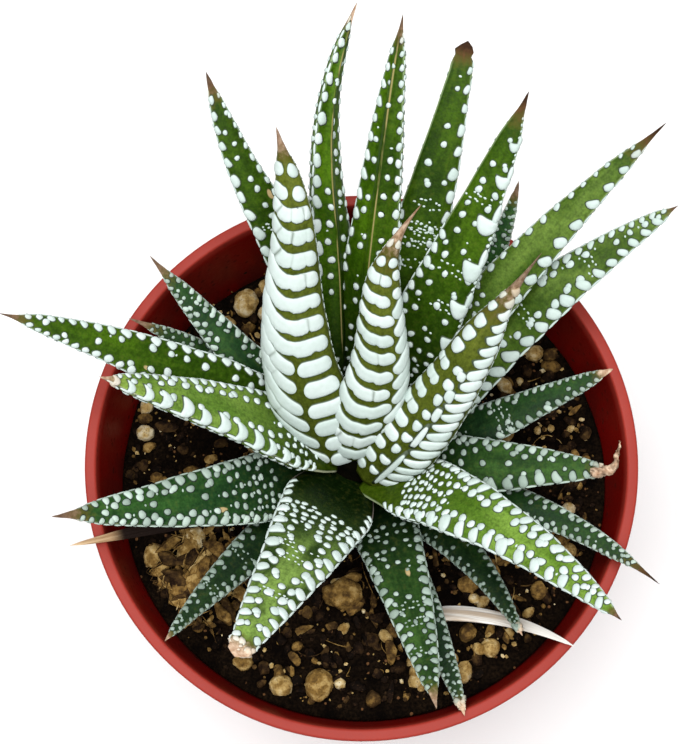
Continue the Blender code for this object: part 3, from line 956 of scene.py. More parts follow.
    def moved_round(self, share, round_place, distance):
        """The place a distance in millimetres to the right, over the margin if need be."""
        row = np.clip(share, 0, LAST_SHARE) * LEAF_STATIONS
        index = np.minimum(row.astype(int), LEAF_STATIONS)
        top = self.arcs[index, 0]
        under = self.arcs[index, 1]
        start = np.where(round_place < 1, round_place * top, top + (round_place - 1) * under)
        run = np.mod(start - distance, top + under)
        return np.where(run < top, run / top, 1 + (run - top) / under)


def leaf_body(surface):
    """Vertices, faces and values of the leaf without its warts."""
    stations, half = LEAF_STATIONS, LEAF_SIDES // 2
    columns = np.arange(LEAF_SIDES)
    ends = [surface.points[0].mean(axis=0), surface.points[stations].mean(axis=0)]
    verts = np.concatenate((surface.points[:stations].reshape(-1, 3), ends))
    local = np.concatenate((surface.local[:stations].reshape(-1, 3),
                            [(0, 0, 0), (0, surface.length, 0)]))
    shares = np.concatenate((np.repeat(np.arange(stations) / stations, LEAF_SIDES), [0, 1]))
    steps = np.minimum(columns % half, half - columns % half) / half
    arcs = np.where(columns < half, surface.arcs[:stations, :1], surface.arcs[:stations, 1:])
    edge = np.concatenate(((arcs * steps).ravel(), [3, 0]))
    aside = np.abs(columns / half - surface.leaf.dress.fold)
    fold = arcs * (aside if surface.leaf.dress.fold else FAR_OFF)
    fold = np.concatenate((fold.ravel(), [FAR_OFF, FAR_OFF]))
    return verts, pointed_faces(stations, LEAF_SIDES, flipped=True), shares, edge, fold, local


def wart_mesh(surface, wart, rng):
    """One wart: a low dome that follows the skin under it, closed below."""
    wide = max(wart.along, wart.across)
    sides = 8 if wide < 0.4 else 12 if wide < 0.8 else 16 if wide < 1.4 else 26
    # the outermost ring, half sunk, carries the painted shadow round the wart
    seam_shadow = 1 + SEAM_SHADOW / max(min(wart.along, wart.across), 0.35)
    if wide < 0.4:
        rings = ((1.0, -0.06), (0.88, 0.6))
    elif wide < 0.8 and wart.corner < 3:
        rings = ((seam_shadow, -0.07), (1.0, 0.14), (0.78, 0.82))
    elif wart.corner < 3:
        rings = ((seam_shadow, -0.05), (1.0, 0.08), (0.95, 0.42), (0.78, 0.80), (0.42, 0.98))
    else:
        rings = ((seam_shadow, -0.05), (1.0, 0.08), (0.98, 0.45), (0.90, 0.80), (0.66, 0.98))
    angles = np.arange(sides) * math.tau / sides
    cosines, sines = np.cos(angles), np.sin(angles)
    out = 1
    for waves, ripple in enumerate(WART_RIPPLES, 2):
        out = out + ripple * np.sin(waves * angles + rng.uniform(0, 6))
    p = np.sign(cosines) * np.abs(cosines) ** (2 / wart.corner) * out
    q = np.sign(sines) * np.abs(sines) ** (2 / wart.corner) * out
    reach, lift = np.array(rings + ((0.0, 1.0),)).T
    p = np.outer(reach, p)
    q = np.outer(reach, q) * wart.along + wart.bend * p ** 2
    p = p * wart.across
    right = p * math.cos(wart.turn) - q * math.sin(wart.turn)
    ahead = p * math.sin(wart.turn) + q * math.cos(wart.turn)
    share = wart.share + ahead / surface.length
    place = surface.moved_round(share, np.full_like(share, wart.turn_round), right)
    points, local = surface.raised(share, place, (lift * wart.height)[:, None])
    verts = np.concatenate((points[:-1].reshape(-1, 3), points[-1, :1]))
    local = np.concatenate((local[:-1].reshape(-1, 3), local[-1, :1]))
    rim = np.concatenate((np.repeat(reach[:-1], sides), [0.0]))
    last, apex = (len(rings) - 1) * sides, len(verts) - 1
    faces = wall_faces(len(rings), sides)
    faces += [(last + a, last + b, apex) for a, b in neighbours(sides)]
    faces.append(tuple(reversed(range(sides))))
    return verts, faces, rim, local


def ribbon_mesh(surface, ribbon):
    """A raised band on the back that follows the skin under it, closed below and at its ends."""
    shares = ribbon.ahead / surface.length
    room = np.array([surface.room(share, 1) for share in shares])
    run_ahead = np.gradient(ribbon.ahead)
    run_aside = np.gradient(ribbon.places) * room
    run = np.hypot(run_ahead, run_aside)
    reach, lift = np.array(RIBBON_CUT).T
    off = np.outer(ribbon.halves, reach)
    share = (ribbon.ahead[:, None] + off * (run_aside / run)[:, None]) / surface.length
    place = ribbon.places[:, None] - off * (run_ahead / run / room)[:, None]
    place = 2 - np.clip(place, 0.005, 0.995)
    points, local = surface.raised(share, place, np.outer(ribbon.heights, lift))
    faces = blunt_faces(len(shares), len(RIBBON_CUT))
    middle = len(shares) // 2
    corner = points[middle, 3]
    crossing = np.cross(points[middle, 4] - corner, points[middle + 1, 3] - corner)
    if np.dot(crossing, surface.sample(surface.normals, share, place)[middle, 3]) < 0:
        faces = [tuple(reversed(face)) for face in faces]
    reach = np.abs(reach)[None, :]
    # painted shade: in the creases between lobes the rim rises into the dark seam colour
    rim = np.maximum(reach, 0.93 + 0.05 * ribbon.creased[:, None])
    rim = np.where(reach > 0.9, reach, rim)
    return points.reshape(-1, 3), faces, rim.ravel(), local.reshape(-1, 3)


def make_leaf(leaf, seed, layers, skin, wart_skin, slot):
    """Form a leaf, set each layer of warts on it in turn, and join them all into one piece that
    stands for the frame's leaf. Gives back the leaf's surface."""
    rng = np.random.default_rng(seed)
    surface = LeafSurface(leaf, seed)
    warts = [wart for layer in layers for wart in layer(surface, rng)]
    verts, faces, shares, edge, fold, local = leaf_body(surface)
    aside = np.tile(np.arange(LEAF_SIDES) / LEAF_SIDES * 2, LEAF_STATIONS) - leaf.dress.fold
    aside = np.concatenate((aside, [-leaf.dress.fold] * 2))
    # painted light and shade: on a folded leaf the skin on one side of the fold is painted lighter,
    # on the other darker
    lit = 0.3 * (blend_in(-0.03, 0.03, aside) - 0.5) * (leaf.dress.fold > 0)
    dries = np.array([surface.dryness(share) for share in shares])
    parts = [(verts, local, np.zeros(len(verts)), leaf.dress.shade * (1 + lit), edge, dries)]
    worn = [0] * len(faces)
    count = len(verts)
    for wart in warts:
        if isinstance(wart, Ribbon):
            points, walls, rim, spots = ribbon_mesh(surface, wart)
        elif 0.02 < wart.share < 1 - 1.2 / surface.length:
            points, walls, rim, spots = wart_mesh(surface, wart, rng)
        else:
            continue
        faces += [tuple(corner + count for corner in wall) for wall in walls]
        worn += [1] * len(walls)
        count += len(points)
        # a random tone, lowered on leaves whose skin is darker, as painted shade
        tone = rng.uniform(0.45, 1) * min(1, leaf.dress.shade)
        dry = surface.dryness(spots[0, 1] / surface.length)
        even = [np.full(len(points), number) for number in (tone, 2.0, dry)]
        parts.append((points, spots, rim, *even))
    verts, local, rims, tones, edges, dries = map(np.concatenate, zip(*parts))
    values = {"place": local + (OWN_SHIFT * seed, 0, 0), "along": local[:, 1] / surface.length,
              "edge": edges, "dry": dries, "rim": rims, "tone": tones,
              "fold": np.concatenate((fold, np.full(count - len(fold), FAR_OFF))),
              "bleach": np.full(count, leaf.dress.bleach)}
    name = leaf.name + ("_withered" if slot == "dry_leaf" else "_living")
    piece = add_piece(name, verts, faces, [skin, wart_skin], worn, values)
    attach(piece, "root")
    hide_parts(leaf.name)
    return surface


def skin_group():
    """Living leaf skin: green that shifts from foot to tip and in lengthwise blotches, with fine
    cells and veins, a pale line at the margins, a few scars, and the dried brown of the tip. The
    foot is painted dark as painted shade. The fresher green that spreads towards the tip is partly
    real and partly a painted glow of light through the leaf."""
    group, taken, given = make_group(
        "leaf_skin", "Place Along Edge Dry Bleach Shade Fold Scars Foot Body Fresh Margin",
        "Color Roughness Height")
    place, along, edge, dry, bleach, shade, fold, scars, foot, body, fresh, margin = taken
    clouds = blotches(stretched(place, 1, 0.4, 1), 4.5, 0.16)
    veins = blotches(stretched(place, 1, 0.07, 1), 0.7, 0.3)
    mottle = blotches(place, 0.9, 0.25)
    cells = put(group, "TexVoronoi", {"Vector": place, "Scale": 2.6}, "Distance")
    # fresher green in blotches towards the tip: partly the skin's own colour, partly a painted glow
    # of light through the leaf
    colour = mixed(clouds * ranged(along, 0.15, 0.70, 0.10, 1.0), body, fresh)
    # painted shade: the foot takes the darker foot colour
    colour = mixed(ranged(along, 0.50, 0.12), colour, foot)
    light = (veins * 0.25 + mottle * 0.50 + cells * -0.45 + 0.80) * shade
    grey = put(group, "CombineColor", {0: light, 1: light, 2: light})
    colour = mixed(1.0, colour, grey, "MULTIPLY")
    colour = mixed(ranged(edge, 0.5, 0.1, 0.0, 0.6), colour, margin)
    crease = ranged(fold, 0.28, 0.08) * ranged(veins, 0.25, 0.6)
    colour = mixed(crease * 0.8, colour, (0.34, 0.27, 0.11))
    marks = specks(stretched(place, 1, 0.5, 1), 3.8, 0.15, scars)
    colour = mixed(marks * 0.8, colour, (0.50, 0.36, 0.18))
    dying = dry + (mottle - 0.5) * 0.3
    colour = mixed(ranged(dying, 0.0, 0.45, 0.0, 0.85), colour, (0.075, 0.065, 0.010))
    brown = mixed(mottle, (0.048, 0.022, 0.008), (0.11, 0.055, 0.022))
    tan = mixed(mottle, (0.34, 0.19, 0.11), (0.66, 0.50, 0.36))
    dead = ranged(dying, 0.34, 0.86)
    colour = mixed(dead, colour, mixed(bleach, brown, tan))
    end = mixed(bleach, (0.022, 0.010, 0.006), tan)
    feed(given, {"Color": mixed(ranged(dry, 0.75, 1.0, 0.0, 0.8), colour, end),
                 "Roughness": mottle * 0.16 + 0.34 + dead * 0.35,
                 "Height": cells * -0.7 + veins * 0.5 + mottle * dead * 2.5})
    return group


LEAF_SKIN = skin_group()


# A skin's foot colour is painted shade. Its fresh colour is partly real and partly a painted glow of
# light through the leaf.
def skin_material(name, foot, body, fresh, margin, scars=0.06):
    material, tree, shader = new_material(name)
    inputs = {"Place": read(tree, "place", "Vector"), "Shade": read(tree, "tone"), "Scars": scars,
              "Foot": foot, "Body": body, "Fresh": fresh, "Margin": margin}
    for label in ("Along", "Edge", "Dry", "Bleach", "Fold"):
        inputs[label] = read(tree, label.lower())
    skin = put(tree, "Group", inputs, "Color", node_tree=LEAF_SKIN)
    normal = bump(skin.output("Height"), 0.35, 0.08 * MM)
    finish(shader, skin, normal, skin.output("Roughness"), 0.07)
    return material


def wart_material(name, dull, clear, seam_shadow):
    """Hard white skin, with a dark seam of painted shadow where a wart meets the leaf, and
    stained where the tip has dried.
    """
    material, tree, shader = new_material(name)
    cloudy = blotches(read(tree, "place", "Vector"), 0.9, 0.25)
    white = mixed(read(tree, "tone"), dull, clear)
    shady = mixed(1.0, white, (0.78, 0.84, 0.76), "MULTIPLY")
    colour = mixed(cloudy * 0.35, white, shady)
    # painted shadow: the wart's outer rings take the dark seam colour
    colour = mixed(ranged(read(tree, "rim"), 0.94, 1.0, 0.0, 0.92), colour, seam_shadow)
    dead = mixed(read(tree, "bleach"), (0.34, 0.22, 0.10), (0.62, 0.47, 0.34))
    colour = mixed(ranged(read(tree, "dry"), 0.35, 0.9, 0.0, 0.85), colour, dead)
    finish(shader, colour, bump(cloudy, 0.3, 0.06 * MM), 0.5, 0.15)
    return material


WHITE_WARTS = wart_material("white_warts", (0.40, 0.50, 0.46), (0.60, 0.675, 0.66),
                            seam_shadow=(0.022, 0.038, 0.006))


def speck(rng, share, place):
    return Wart(share, place, 0.2, rng.uniform(0.2, 0.34), 0, 0, 2, 0.12)


def upper_warts(surface, rng):
    """Arched rows of round warts over the upper face, small past the bare foot and larger on,
    each row shifted half a step from the last; and clusters of specks."""
    dress, length = surface.leaf.dress, surface.length
    warts = []
    y = dress.bare * length
    shifted = False
    while y < length - 1.3 * dress.tip - 1:
        share = y / length
        grown = float(blend_in(dress.bare, dress.middle, share))
        size = dress.fine + (dress.coarse - dress.fine) * grown
        size *= 1 - 0.35 * float(blend_in(0.7, 1.0, share))
        gap = dress.gap * (0.6 + 0.4 * grown)
        room = surface.room(share, 0)
        aside = 0.34 * (dress.left + dress.right) * (0.4 + 0.6 * grown)
        across = max(1, round((room - aside) / (size + gap)))
        if grown > 0.6:
            across = min(across, dress.abreast)
        shifted = not shifted
        if shifted and across > 2:
            across -= 1
        lean_in = 0.5 * (dress.left - dress.right) * 0.34
        for index in range(across):
            off = (index + 0.5) / across - 0.5
            off = off * (room - aside) - lean_in + rng.normal(0, 0.13 * gap + 0.08)
            place = 0.5 + off / room
            if rng.uniform() < dress.skip or not 0.05 < place < 0.95:
                continue
            arch = -0.16 * room * (1 - (2 * place - 1) ** 2)
            along = size / 2 * rng.uniform(0.78, 1.08)
            wide = along * (1.35 - 0.4 * grown) * rng.uniform(0.88, 1.12)
            spot = (y + arch + rng.normal(0, 0.16 * gap)) / length
            turn = rng.normal(0, 0.3)
            warts.append(Wart(spot, place, along, wide, turn, 0, 2.1, 0.46 * along))
            if rng.uniform() < 0.08:
                warts.append(Wart(spot + 0.9 * along / length, place + 0.5 * along / room,
                                  0.8 * along, 0.8 * wide, 0, 0, 2.1, 0.4 * along))
            elif rng.uniform() < 0.25:
                warts.append(speck(rng, spot + 0.6 * (size + gap) / length, place))
        y += (size + gap) * rng.uniform(0.86, 0.98)
    for _ in range(dress.specks):
        share = rng.uniform(dress.bare + 0.15, 0.76)
        middle = rng.uniform(0.35, 0.65)
        room = surface.room(share, 0)
        for index in range(CLUSTER_SPECKS):
            spot = share + (index // 6 * 1.1 + rng.normal(0, 0.2)) / length
            beside = middle + (index % 6 - 2.5 + rng.normal(0, 0.2)) * 0.95 / room
            warts.append(speck(rng, spot, beside))
    return warts


def margin_warts(surface, rng):
    """Lumps on both margins, each a comma whose tail runs on along the margin to the next."""
    dress, length = surface.leaf.dress, surface.length
    warts = []
    for outer, size in ((1, dress.right), (-1, dress.left)):
        y = (0.08 + 0.3 * dress.bare) * length
        end = length if outer > 0 else dress.clear * length
        while y < min(length - 0.9 * dress.tip - 1, end):
            share = y / length
            swell = 0.42 + 0.58 * float(blend_in(0.08, 0.42, share))
            swell *= 1 - 0.42 * float(blend_in(0.6, 1.0, share))
            long = size * swell * rng.uniform(0.88, 1.12)
            hook = max(0, dress.hook) if size > 1.9 else 0
            lean = rng.uniform(0.4, 0.75) * (1 - 0.8 * hook) - dress.hook * (dress.hook < 0)
            broad = 0.40 - 0.03 * size
            inset = (0.40 * math.cos(lean) + 0.7 * broad * math.sin(lean)) * long
            inset /= surface.room(share, 0)
            warts.append(Wart(share, inset if outer > 0 else 1 - inset, broad * long, 0.50 * long,
                              outer * lean, (0.03 + 0.27 * hook) * long, 2.5, 0.13 * long + 0.10))
            tail = 0.4 * long * math.sin(lean) + 0.42 * long
            warts.append(Wart(share + tail / length, 0 if outer > 0 else 1, 0.45 * long,
                              0.07 * long + 0.08, 0, 0, 2, 0.06 * long + 0.03))
            if hook > 0.5:
                warts.append(Wart(share + 0.3 / length, 1.25 if outer < 0 else 1.75, 0.30 * long,
                                  0.42 * long, -outer * 0.5, 0.3, 2.4, 0.3))
            y += long * (0.80 + 0.35 * math.sin(lean)) * rng.uniform(0.95, 1.15)
            y += dress.apart + 0.25 * hook
    return warts


# ---------------------------------------------------------------- inner leaves
# The three youngest leaves stand up in the middle and show their backs, where the warts have
# grown together into raised white bands from margin to margin. Their tips have dried to thorns.

# The bands on one back. Places across it run from 0 at the leaf's right margin to 1 at its left.
#   first, last, pitch: the shares where the bands begin and end, and their spacing (mm)
#   low_parts, high_parts, end_parts: the pieces of a band below the split share, above it and
#     past the end share, each by the places where its lobes meet
#   right, left, lowest: how far they sweep up to either margin (mm), and where they hang lowest
#   halves, thin: their half thickness at the right margin, the lowest place and the left margin
#     (mm), and how much they thin towards the tip
Bands = namedtuple("Bands", "first last pitch split low_parts high_parts end end_parts right left "
                   "lowest halves thin")
INNER_LEAVES = (
    (Leaf("inner_leaf_1", -100, 83, 2, -95, (87, 65), (30, 55), 52.5, 12, 4.6, (0, 0),
          Dress(bare=0.4, left=1.2, right=1.1, tip=8.0, bleach=0.7, blunt=-0.7), 2.0),
     Bands(0.04, 0.89, 3.7, 0.60, ((0.02, 0.22, 0.46, 0.70), (0.73, 0.98)),
           ((0.04, 0.40, 0.66), (0.72, 0.90)), 0.76, ((0.12, 0.42), (0.52, 0.82)),
           3.0, 6.5, 0.42, (1.25, 1.55, 1.15), 0.42)),
    (Leaf("inner_leaf_2", -155, 81, 4, -97, (116, 94), (36, 60), 64.5, 14.5, 4.8, (0, 0),
          Dress(bare=0.4, left=1.3, right=0.8, tip=3.8, bleach=0.45, blunt=-0.2), -1.5),
     Bands(0.03, 0.93, 4.2, 0.36, ((0.01, 0.22, 0.46), (0.49, 0.90)),
           ((0.02, 0.26, 0.50, 0.72, 0.92),), 0.80, ((0.05, 0.44), (0.54, 0.90)),
           8.5, 0.7, 0.62, (1.25, 1.75, 1.55), 0.26)),
    (Leaf("inner_leaf_3", -60, 80, 5, -130, (34, 55), (37, 60), 55.5, 13, 5.0, (0, 0),
          Dress(bare=0.4, left=1.3, right=1.2, tip=9.5, bleach=0.35, blunt=-0.8), 0.6),
     Bands(0.06, 0.56, 3.5, 0.34, ((0.03, 0.22, 0.42),), ((0.04, 0.21, 0.36),), 2, (),
           1.2, 0.8, 0.32, (0.85, 1.25, 1.10), 0.20)),
)
BAND_STEPS = 26

# The white ridges in a file on the keel of the third leaf: share, place, half length, half width.
KEEL_RIDGES = ((0.13, 0.625, 5.0, 0.50), (0.30, 0.61, 2.7, 0.55), (0.40, 0.60, 1.5, 0.65),
               (0.475, 0.60, 1.2, 0.85), (0.55, 0.59, 0.9, 0.8))

# the foot colour here is painted shade, and the fresh colour partly a painted glow
OLIVE_SKIN = skin_material(
    "olive_leaf_skin", foot=(0.045, 0.062, 0.005), body=(0.060, 0.080, 0.008),
    fresh=(0.10, 0.125, 0.015), margin=(0.50, 0.56, 0.36))


def crossed(surface, rng, bands, y, spots):
    """One piece of a band: it hangs like a garland between its first and last place, swells out
    in a lobe between each place and the next, and is creased where two lobes meet."""
    share = y / surface.length
    room = surface.room(share, 1)
    narrow = room / surface.leaf.width
    spots = [spot + (rng.uniform(-0.03, 0.03) if 0.1 < spot < 0.9 else 0) for spot in spots]
    ease = 0.5 - 0.5 * np.cos(np.linspace(0.02, 1, BAND_STEPS) * 3.1)
    u = spots[0] + (spots[-1] - spots[0]) * ease
    to_right = np.clip((bands.lowest - u) / bands.lowest, 0, 1)
    to_left = np.clip((u - bands.lowest) / (1 - bands.lowest), 0, 1)
    lift = (bands.right * to_right ** 2.6 + bands.left * to_left ** 2.4) * narrow ** 1.5
    right, middle, left = bands.halves
    half = middle + (right - middle) * to_right + (left - middle) * to_left
    half *= (1 - bands.thin * share) * rng.uniform(0.93, 1.05)
    creases = [np.abs(u - spot) for spot in spots[1:-1]] + [np.full(BAND_STEPS, 1.0)]
    crease = np.min(creases, axis=0) * room
    half *= 1 - 0.20 * np.exp(-(crease / 0.45) ** 2)
    ends = np.minimum(u - spots[0], spots[-1] - u) * room / (0.8 * half)
    round_off = np.sqrt(np.clip(1 - (1 - np.clip(ends, 0, 1)) ** 2, 0.02, 1))
    sag = 0.22 * half * (1 - np.exp(-(crease / 0.7) ** 2))
    tops = rng.uniform(0.34, 0.42) * round_off * (1 - 0.5 * np.exp(-(crease / 0.16) ** 2))
    return Ribbon(y + lift - sag + rng.normal(0, 0.08), u, half * round_off, tops,
                  np.exp(-(crease / 0.10) ** 2))


def garlands(surface, rng, bands):
    """All the bands of one back, from its foot to its tip."""
    ribbons = []
    y = bands.first * surface.length
    while y < bands.last * surface.length:
        parts = bands.low_parts if y < bands.split * surface.length else bands.high_parts
        parts = bands.end_parts if y > bands.end * surface.length else parts
        for spots in parts:
            ribbons.append(crossed(surface, rng, bands, y, spots))
        y += bands.pitch * (1 - 0.12 * y / surface.length) * rng.uniform(0.95, 1.05)
    return ribbons


def keeled_warts(surface, rng):
    """What the third leaf has beside its bands: white ridges on its keel, a file of round warts
    beside them, large ones further up, and long ones that slant up to the margin on its left."""
    length = surface.length
    warts = []
    y = 0.085 * length
    while y < 0.84 * length:
        share = y / length
        wide = surface.room(share, 1) / surface.leaf.width
        if share < 0.56:
            warts.append(Wart((y + rng.normal(0, 0.2)) / length, 2 - 0.505, rng.uniform(0.8, 1.1),
                              rng.uniform(0.85, 1.2) * min(1, wide), 0, 0.1, 2.3, 0.42))
            y += 3.3 * rng.uniform(0.9, 1.1)
        else:
            warts.append(Wart((y + rng.normal(0, 0.2)) / length, 2 - 0.27 - rng.normal(0, 0.02),
                              1.25 * min(1, 1.7 * wide), 1.9 * wide * rng.uniform(0.9, 1.1),
                              -0.2, 0.15, 2.4, 0.42))
            y += 2.9 * rng.uniform(0.9, 1.1)
    y = 0.04 * length
    while y < 0.88 * length:
        share = y / length
        wide = surface.room(share, 1) / surface.leaf.width
        along = (1.02 - 0.3 * share) * rng.uniform(0.9, 1.1)
        across = 2.25 * wide ** 0.8 * rng.uniform(0.9, 1.05)
        warts.append(Wart((y + 1.6 * wide) / length, 2 - 0.80, along, across, 0.42 + 0.35 * share,
                          0.35, 2.6, 0.42))
        y += 2.35 * rng.uniform(0.92, 1.08)
    for share, place, along, across in KEEL_RIDGES:
        warts.append(Wart(share, 2 - place, along, across, 0.03, 0, 3, 0.7))
    return warts


for leaf_seed, (row, row_bands) in enumerate(INNER_LEAVES, 1):
    row_layers = [upper_warts, margin_warts, partial(garlands, bands=row_bands)]
    if row.name == "inner_leaf_3":
        row_layers.append(keeled_warts)
    make_leaf(row, leaf_seed, row_layers, OLIVE_SKIN, WHITE_WARTS, "young_leaf")


# ---------------------------------------------------------------- middle leaves
# Eleven grown leaves round them, fleshy and deep green, bare and glossy at the foot. Small warts
# begin there in rows, and large round ones and long lumps follow along the margins.

MIDDLE_LEAVES = (
    (Leaf("middle_leaf_1", 175, 79, 4, 175, (164, 176), (45, 54), 51.5, 14.5, 4.8, (-22, -22),
          Dress(0.14, 0.46, 0.75, 1.50, 2, 1.2, 0.06, 3.6, 1.8, 1.0, 2.5, 0.8, -0.4)), "fresh"),
    (Leaf("middle_leaf_2", -55, 78.5, 4.5, -45, (-20, -50), (46, 58), 63.5, 13, 4.8, (0, 0),
          Dress(0.20, 0.50, 0.85, 1.70, 2, 0.8, 0.02, 2.4, 3.2, 0, 2, 0.1, -0.3)), "bright"),
    (Leaf("middle_leaf_3", -115, 78, 4.5, -118, (-114, -118), (40, 50), 55.5, 16.5, 5.0, (0, 0),
          Dress(0.30, 0.55, 0.85, 1.80, 3, 1.0, 0.08, 2.8, 2.8, 0, 3, 1.0, 0.9, specks=3)), "shaded"),
    (Leaf("middle_leaf_4", 50, 80, 3.5, 60, (57, 66), (48, 60), 70, 14, 4.8, (0, 0),
          Dress(0.20, 0.46, 0.75, 1.30, 3, 1.5, 0.15, 2.0, 0.9, -0.5, 4, 0, -0.1, 0.85, specks=3,
                clear=0.60)), "deep"),
    (Leaf("middle_leaf_5", 88, 81, 3.5, 80, (86, 81), (50, 60), 75.5, 13, 4.8, (25, 25),
          Dress(0.20, 0.40, 0.80, 1.25, 2, 2.2, 0.30, 2.1, 1.7, -0.6, 3.5, 0.2, -0.5, 0.95, fold=0.45,
                apart=1.0)), "deep"),
    (Leaf("middle_leaf_6", 115, 80, 3.5, 100, (109, 75), (50, 65), 78.5, 11.5, 4.8, (-30, -45),
          Dress(0.12, 0.40, 0.80, 1.30, 2, 2.0, 0.25, 2.5, 1.6, -0.8, 3.5, 0.7, -0.5, 1.0, fold=0.55,
                apart=0.8), -2.0), "deep"),
    (Leaf("middle_leaf_7", 70, 78, 3.5, 75, (71, 76), (55, 62), 74.5, 13.5, 4.6, (0, 0),
          Dress(0.20, 0.50, 0.75, 1.25, 2, 2.6, 0.35, 2.0, 2.4, -0.7, 2.8, 0, 1.0, 0.75, specks=9,
                clear=0.62, apart=1.3)), "deep"),
    (Leaf("middle_leaf_8", 135, 78, 3.5, 115, (103, 119), (52, 62), 72.5, 12, 4.6, (0, 0),
          Dress(0.40, 0.52, 0.70, 1.15, 1, 2.0, 0.10, 2.4, 1.5, -0.7, 3.6, 0.1, 0.2, 0.72, specks=2,
                apart=0.7), -1.3), "deep"),
    (Leaf("middle_leaf_9", 30, 77, 3.5, 45, (53, 38), (56, 62), 80, 11.5, 4.6, (0, 0),
          Dress(0.30, 0.62, 0.70, 1.15, 0, 1.3, 0.10, 1.5, 2.6, -0.5, 5.5, 0, -0.3, 0.55,
                apart=1.3)), "bright"),
    (Leaf("middle_leaf_10", 165, 76.5, 3.5, 163, (149, 172), (58, 66), 68.5, 12.5, 4.6, (0, 0),
          Dress(0.16, 0.42, 0.80, 1.50, 2, 1.9, 0.22, 1.8, 2.0, -0.4, 3.6, 0.15, -0.5, 0.9)), "deep"),
    (Leaf("middle_leaf_11", 10, 75.5, 3.5, 35, (49, 27), (60, 66), 72.5, 15, 4.6, (0, 0),
          Dress(0.22, 0.40, 0.85, 1.55, 2, 1.6, 0.22, 2.1, 3.0, -0.2, 1.8, 0.1, -0.3, 0.5,
                specks=2)), "bright"),
)
# the foot colours here are painted shade, and the fresh colours partly a painted glow
GROWN_SKINS = {
    "fresh": skin_material(
        "fresh_leaf_skin", foot=(0.018, 0.036, 0.001), body=(0.085, 0.17, 0.020),
        fresh=(0.20, 0.31, 0.055), margin=(0.60, 0.62, 0.42)),
    "bright": skin_material(
        "bright_leaf_skin", foot=(0.030, 0.058, 0.002), body=(0.066, 0.145, 0.011),
        fresh=(0.19, 0.32, 0.050), margin=(0.50, 0.60, 0.35)),
    "shaded": skin_material(
        "shaded_leaf_skin", foot=(0.003, 0.009, 0.001), body=(0.018, 0.042, 0.006),
        fresh=(0.20, 0.32, 0.065), margin=(0.62, 0.52, 0.46)),
    "deep": skin_material(
        "deep_leaf_skin", foot=(0.007, 0.019, 0.001), body=(0.020, 0.055, 0.001),
        fresh=(0.050, 0.115, 0.003), margin=(0.36, 0.48, 0.24)),
}
TIP_FLAKES = 16

# The great hooks on the right margin of the fourth leaf: share, length and width (mm).
GREAT_HOOKS = ((0.335, 3.4, 1.9), (0.43, 4.2, 2.2), (0.535, 5.0, 2.5), (0.655, 4.6, 2.4),
               (0.77, 3.4, 1.7), (0.86, 2.4, 1.2))


def back_warts(surface, rng, size=1.15):
    """The back: rows of broad warts from margin to margin, closer near the foot."""
    length = surface.length
    warts = []
    y = 0.16 * length
    while y < length - surface.leaf.dress.tip - 1:
        share = y / length
        room = surface.room(share, 1)
        count = max(2, round(room / (size * 1.9)))
        for index in range(count):
            place = 1 + (index + 0.5 + rng.uniform(-0.2, 0.2)) / count
            lift = 1.2 * (2 * place - 3) ** 2
            across = size * rng.uniform(0.45, 0.75)
            along = size * rng.uniform(0.32, 0.42)
            warts.append(Wart((y + lift + rng.normal(0, 0.12)) / length, place, along, across,
                              rng.normal(0, 0.12), 0.1, 2.5, 0.22 * size))
        y += size * rng.uniform(1.5, 1.9)
    return warts


def crumpled_bits(surface, rng):
    """Crinkled flakes of dead skin round a tip that has dried and broken off short."""
    warts = []
    for _ in range(TIP_FLAKES):
        share = 1 - rng.uniform(1.3, 1.3 + 0.8 * surface.leaf.dress.tip) / surface.length
        size = rng.uniform(0.35, 0.7)
        warts.append(Wart(share, rng.uniform(0, 2), size, size * rng.uniform(0.6, 1.2),
                          rng.uniform(0, 3), 0.2, 2, size * rng.uniform(0.5, 1.0)))
    return warts


def hook_warts(surface, _):
    """Hooks that open to the tip: a broad round heel with a horn on the leaf, and a long horn that
    runs up the margin."""
    warts = []
    for share, long, broad in GREAT_HOOKS:
        room = surface.room(share, 0)
        warts.append(Wart(share, 0.70 * broad / room, 0.68 * broad, 0.76 * broad, 0.08,
                          0.36 * broad, 2.2, 0.6))
        ahead = (0.55 * broad + 0.30 * long) / surface.length
        warts.append(Wart(share + ahead, 0.20 * broad / room, 0.42 * long, 0.21 * broad, -0.08,
                          0, 2, 0.5))
    return warts


for leaf_seed, (row, skin_name) in enumerate(MIDDLE_LEAVES, 11):
    row_layers = [upper_warts, margin_warts, back_warts]
    if row.name == "middle_leaf_4":
        row_layers.append(hook_warts)
    if row.dress.bleach == 1:
        row_layers.append(crumpled_bits)
    make_leaf(row, leaf_seed, row_layers, GROWN_SKINS[skin_name], WHITE_WARTS, "grown_leaf")


# ---------------------------------------------------------------- outer leaves
# The oldest living leaves lie low round the stem, some out over the rim. Most have turned a dark
# bluish green and two have kept a fresher one. Small pale warts cover them from the foot up,
# their white painted dimmer than on the leaves above as painted shade.

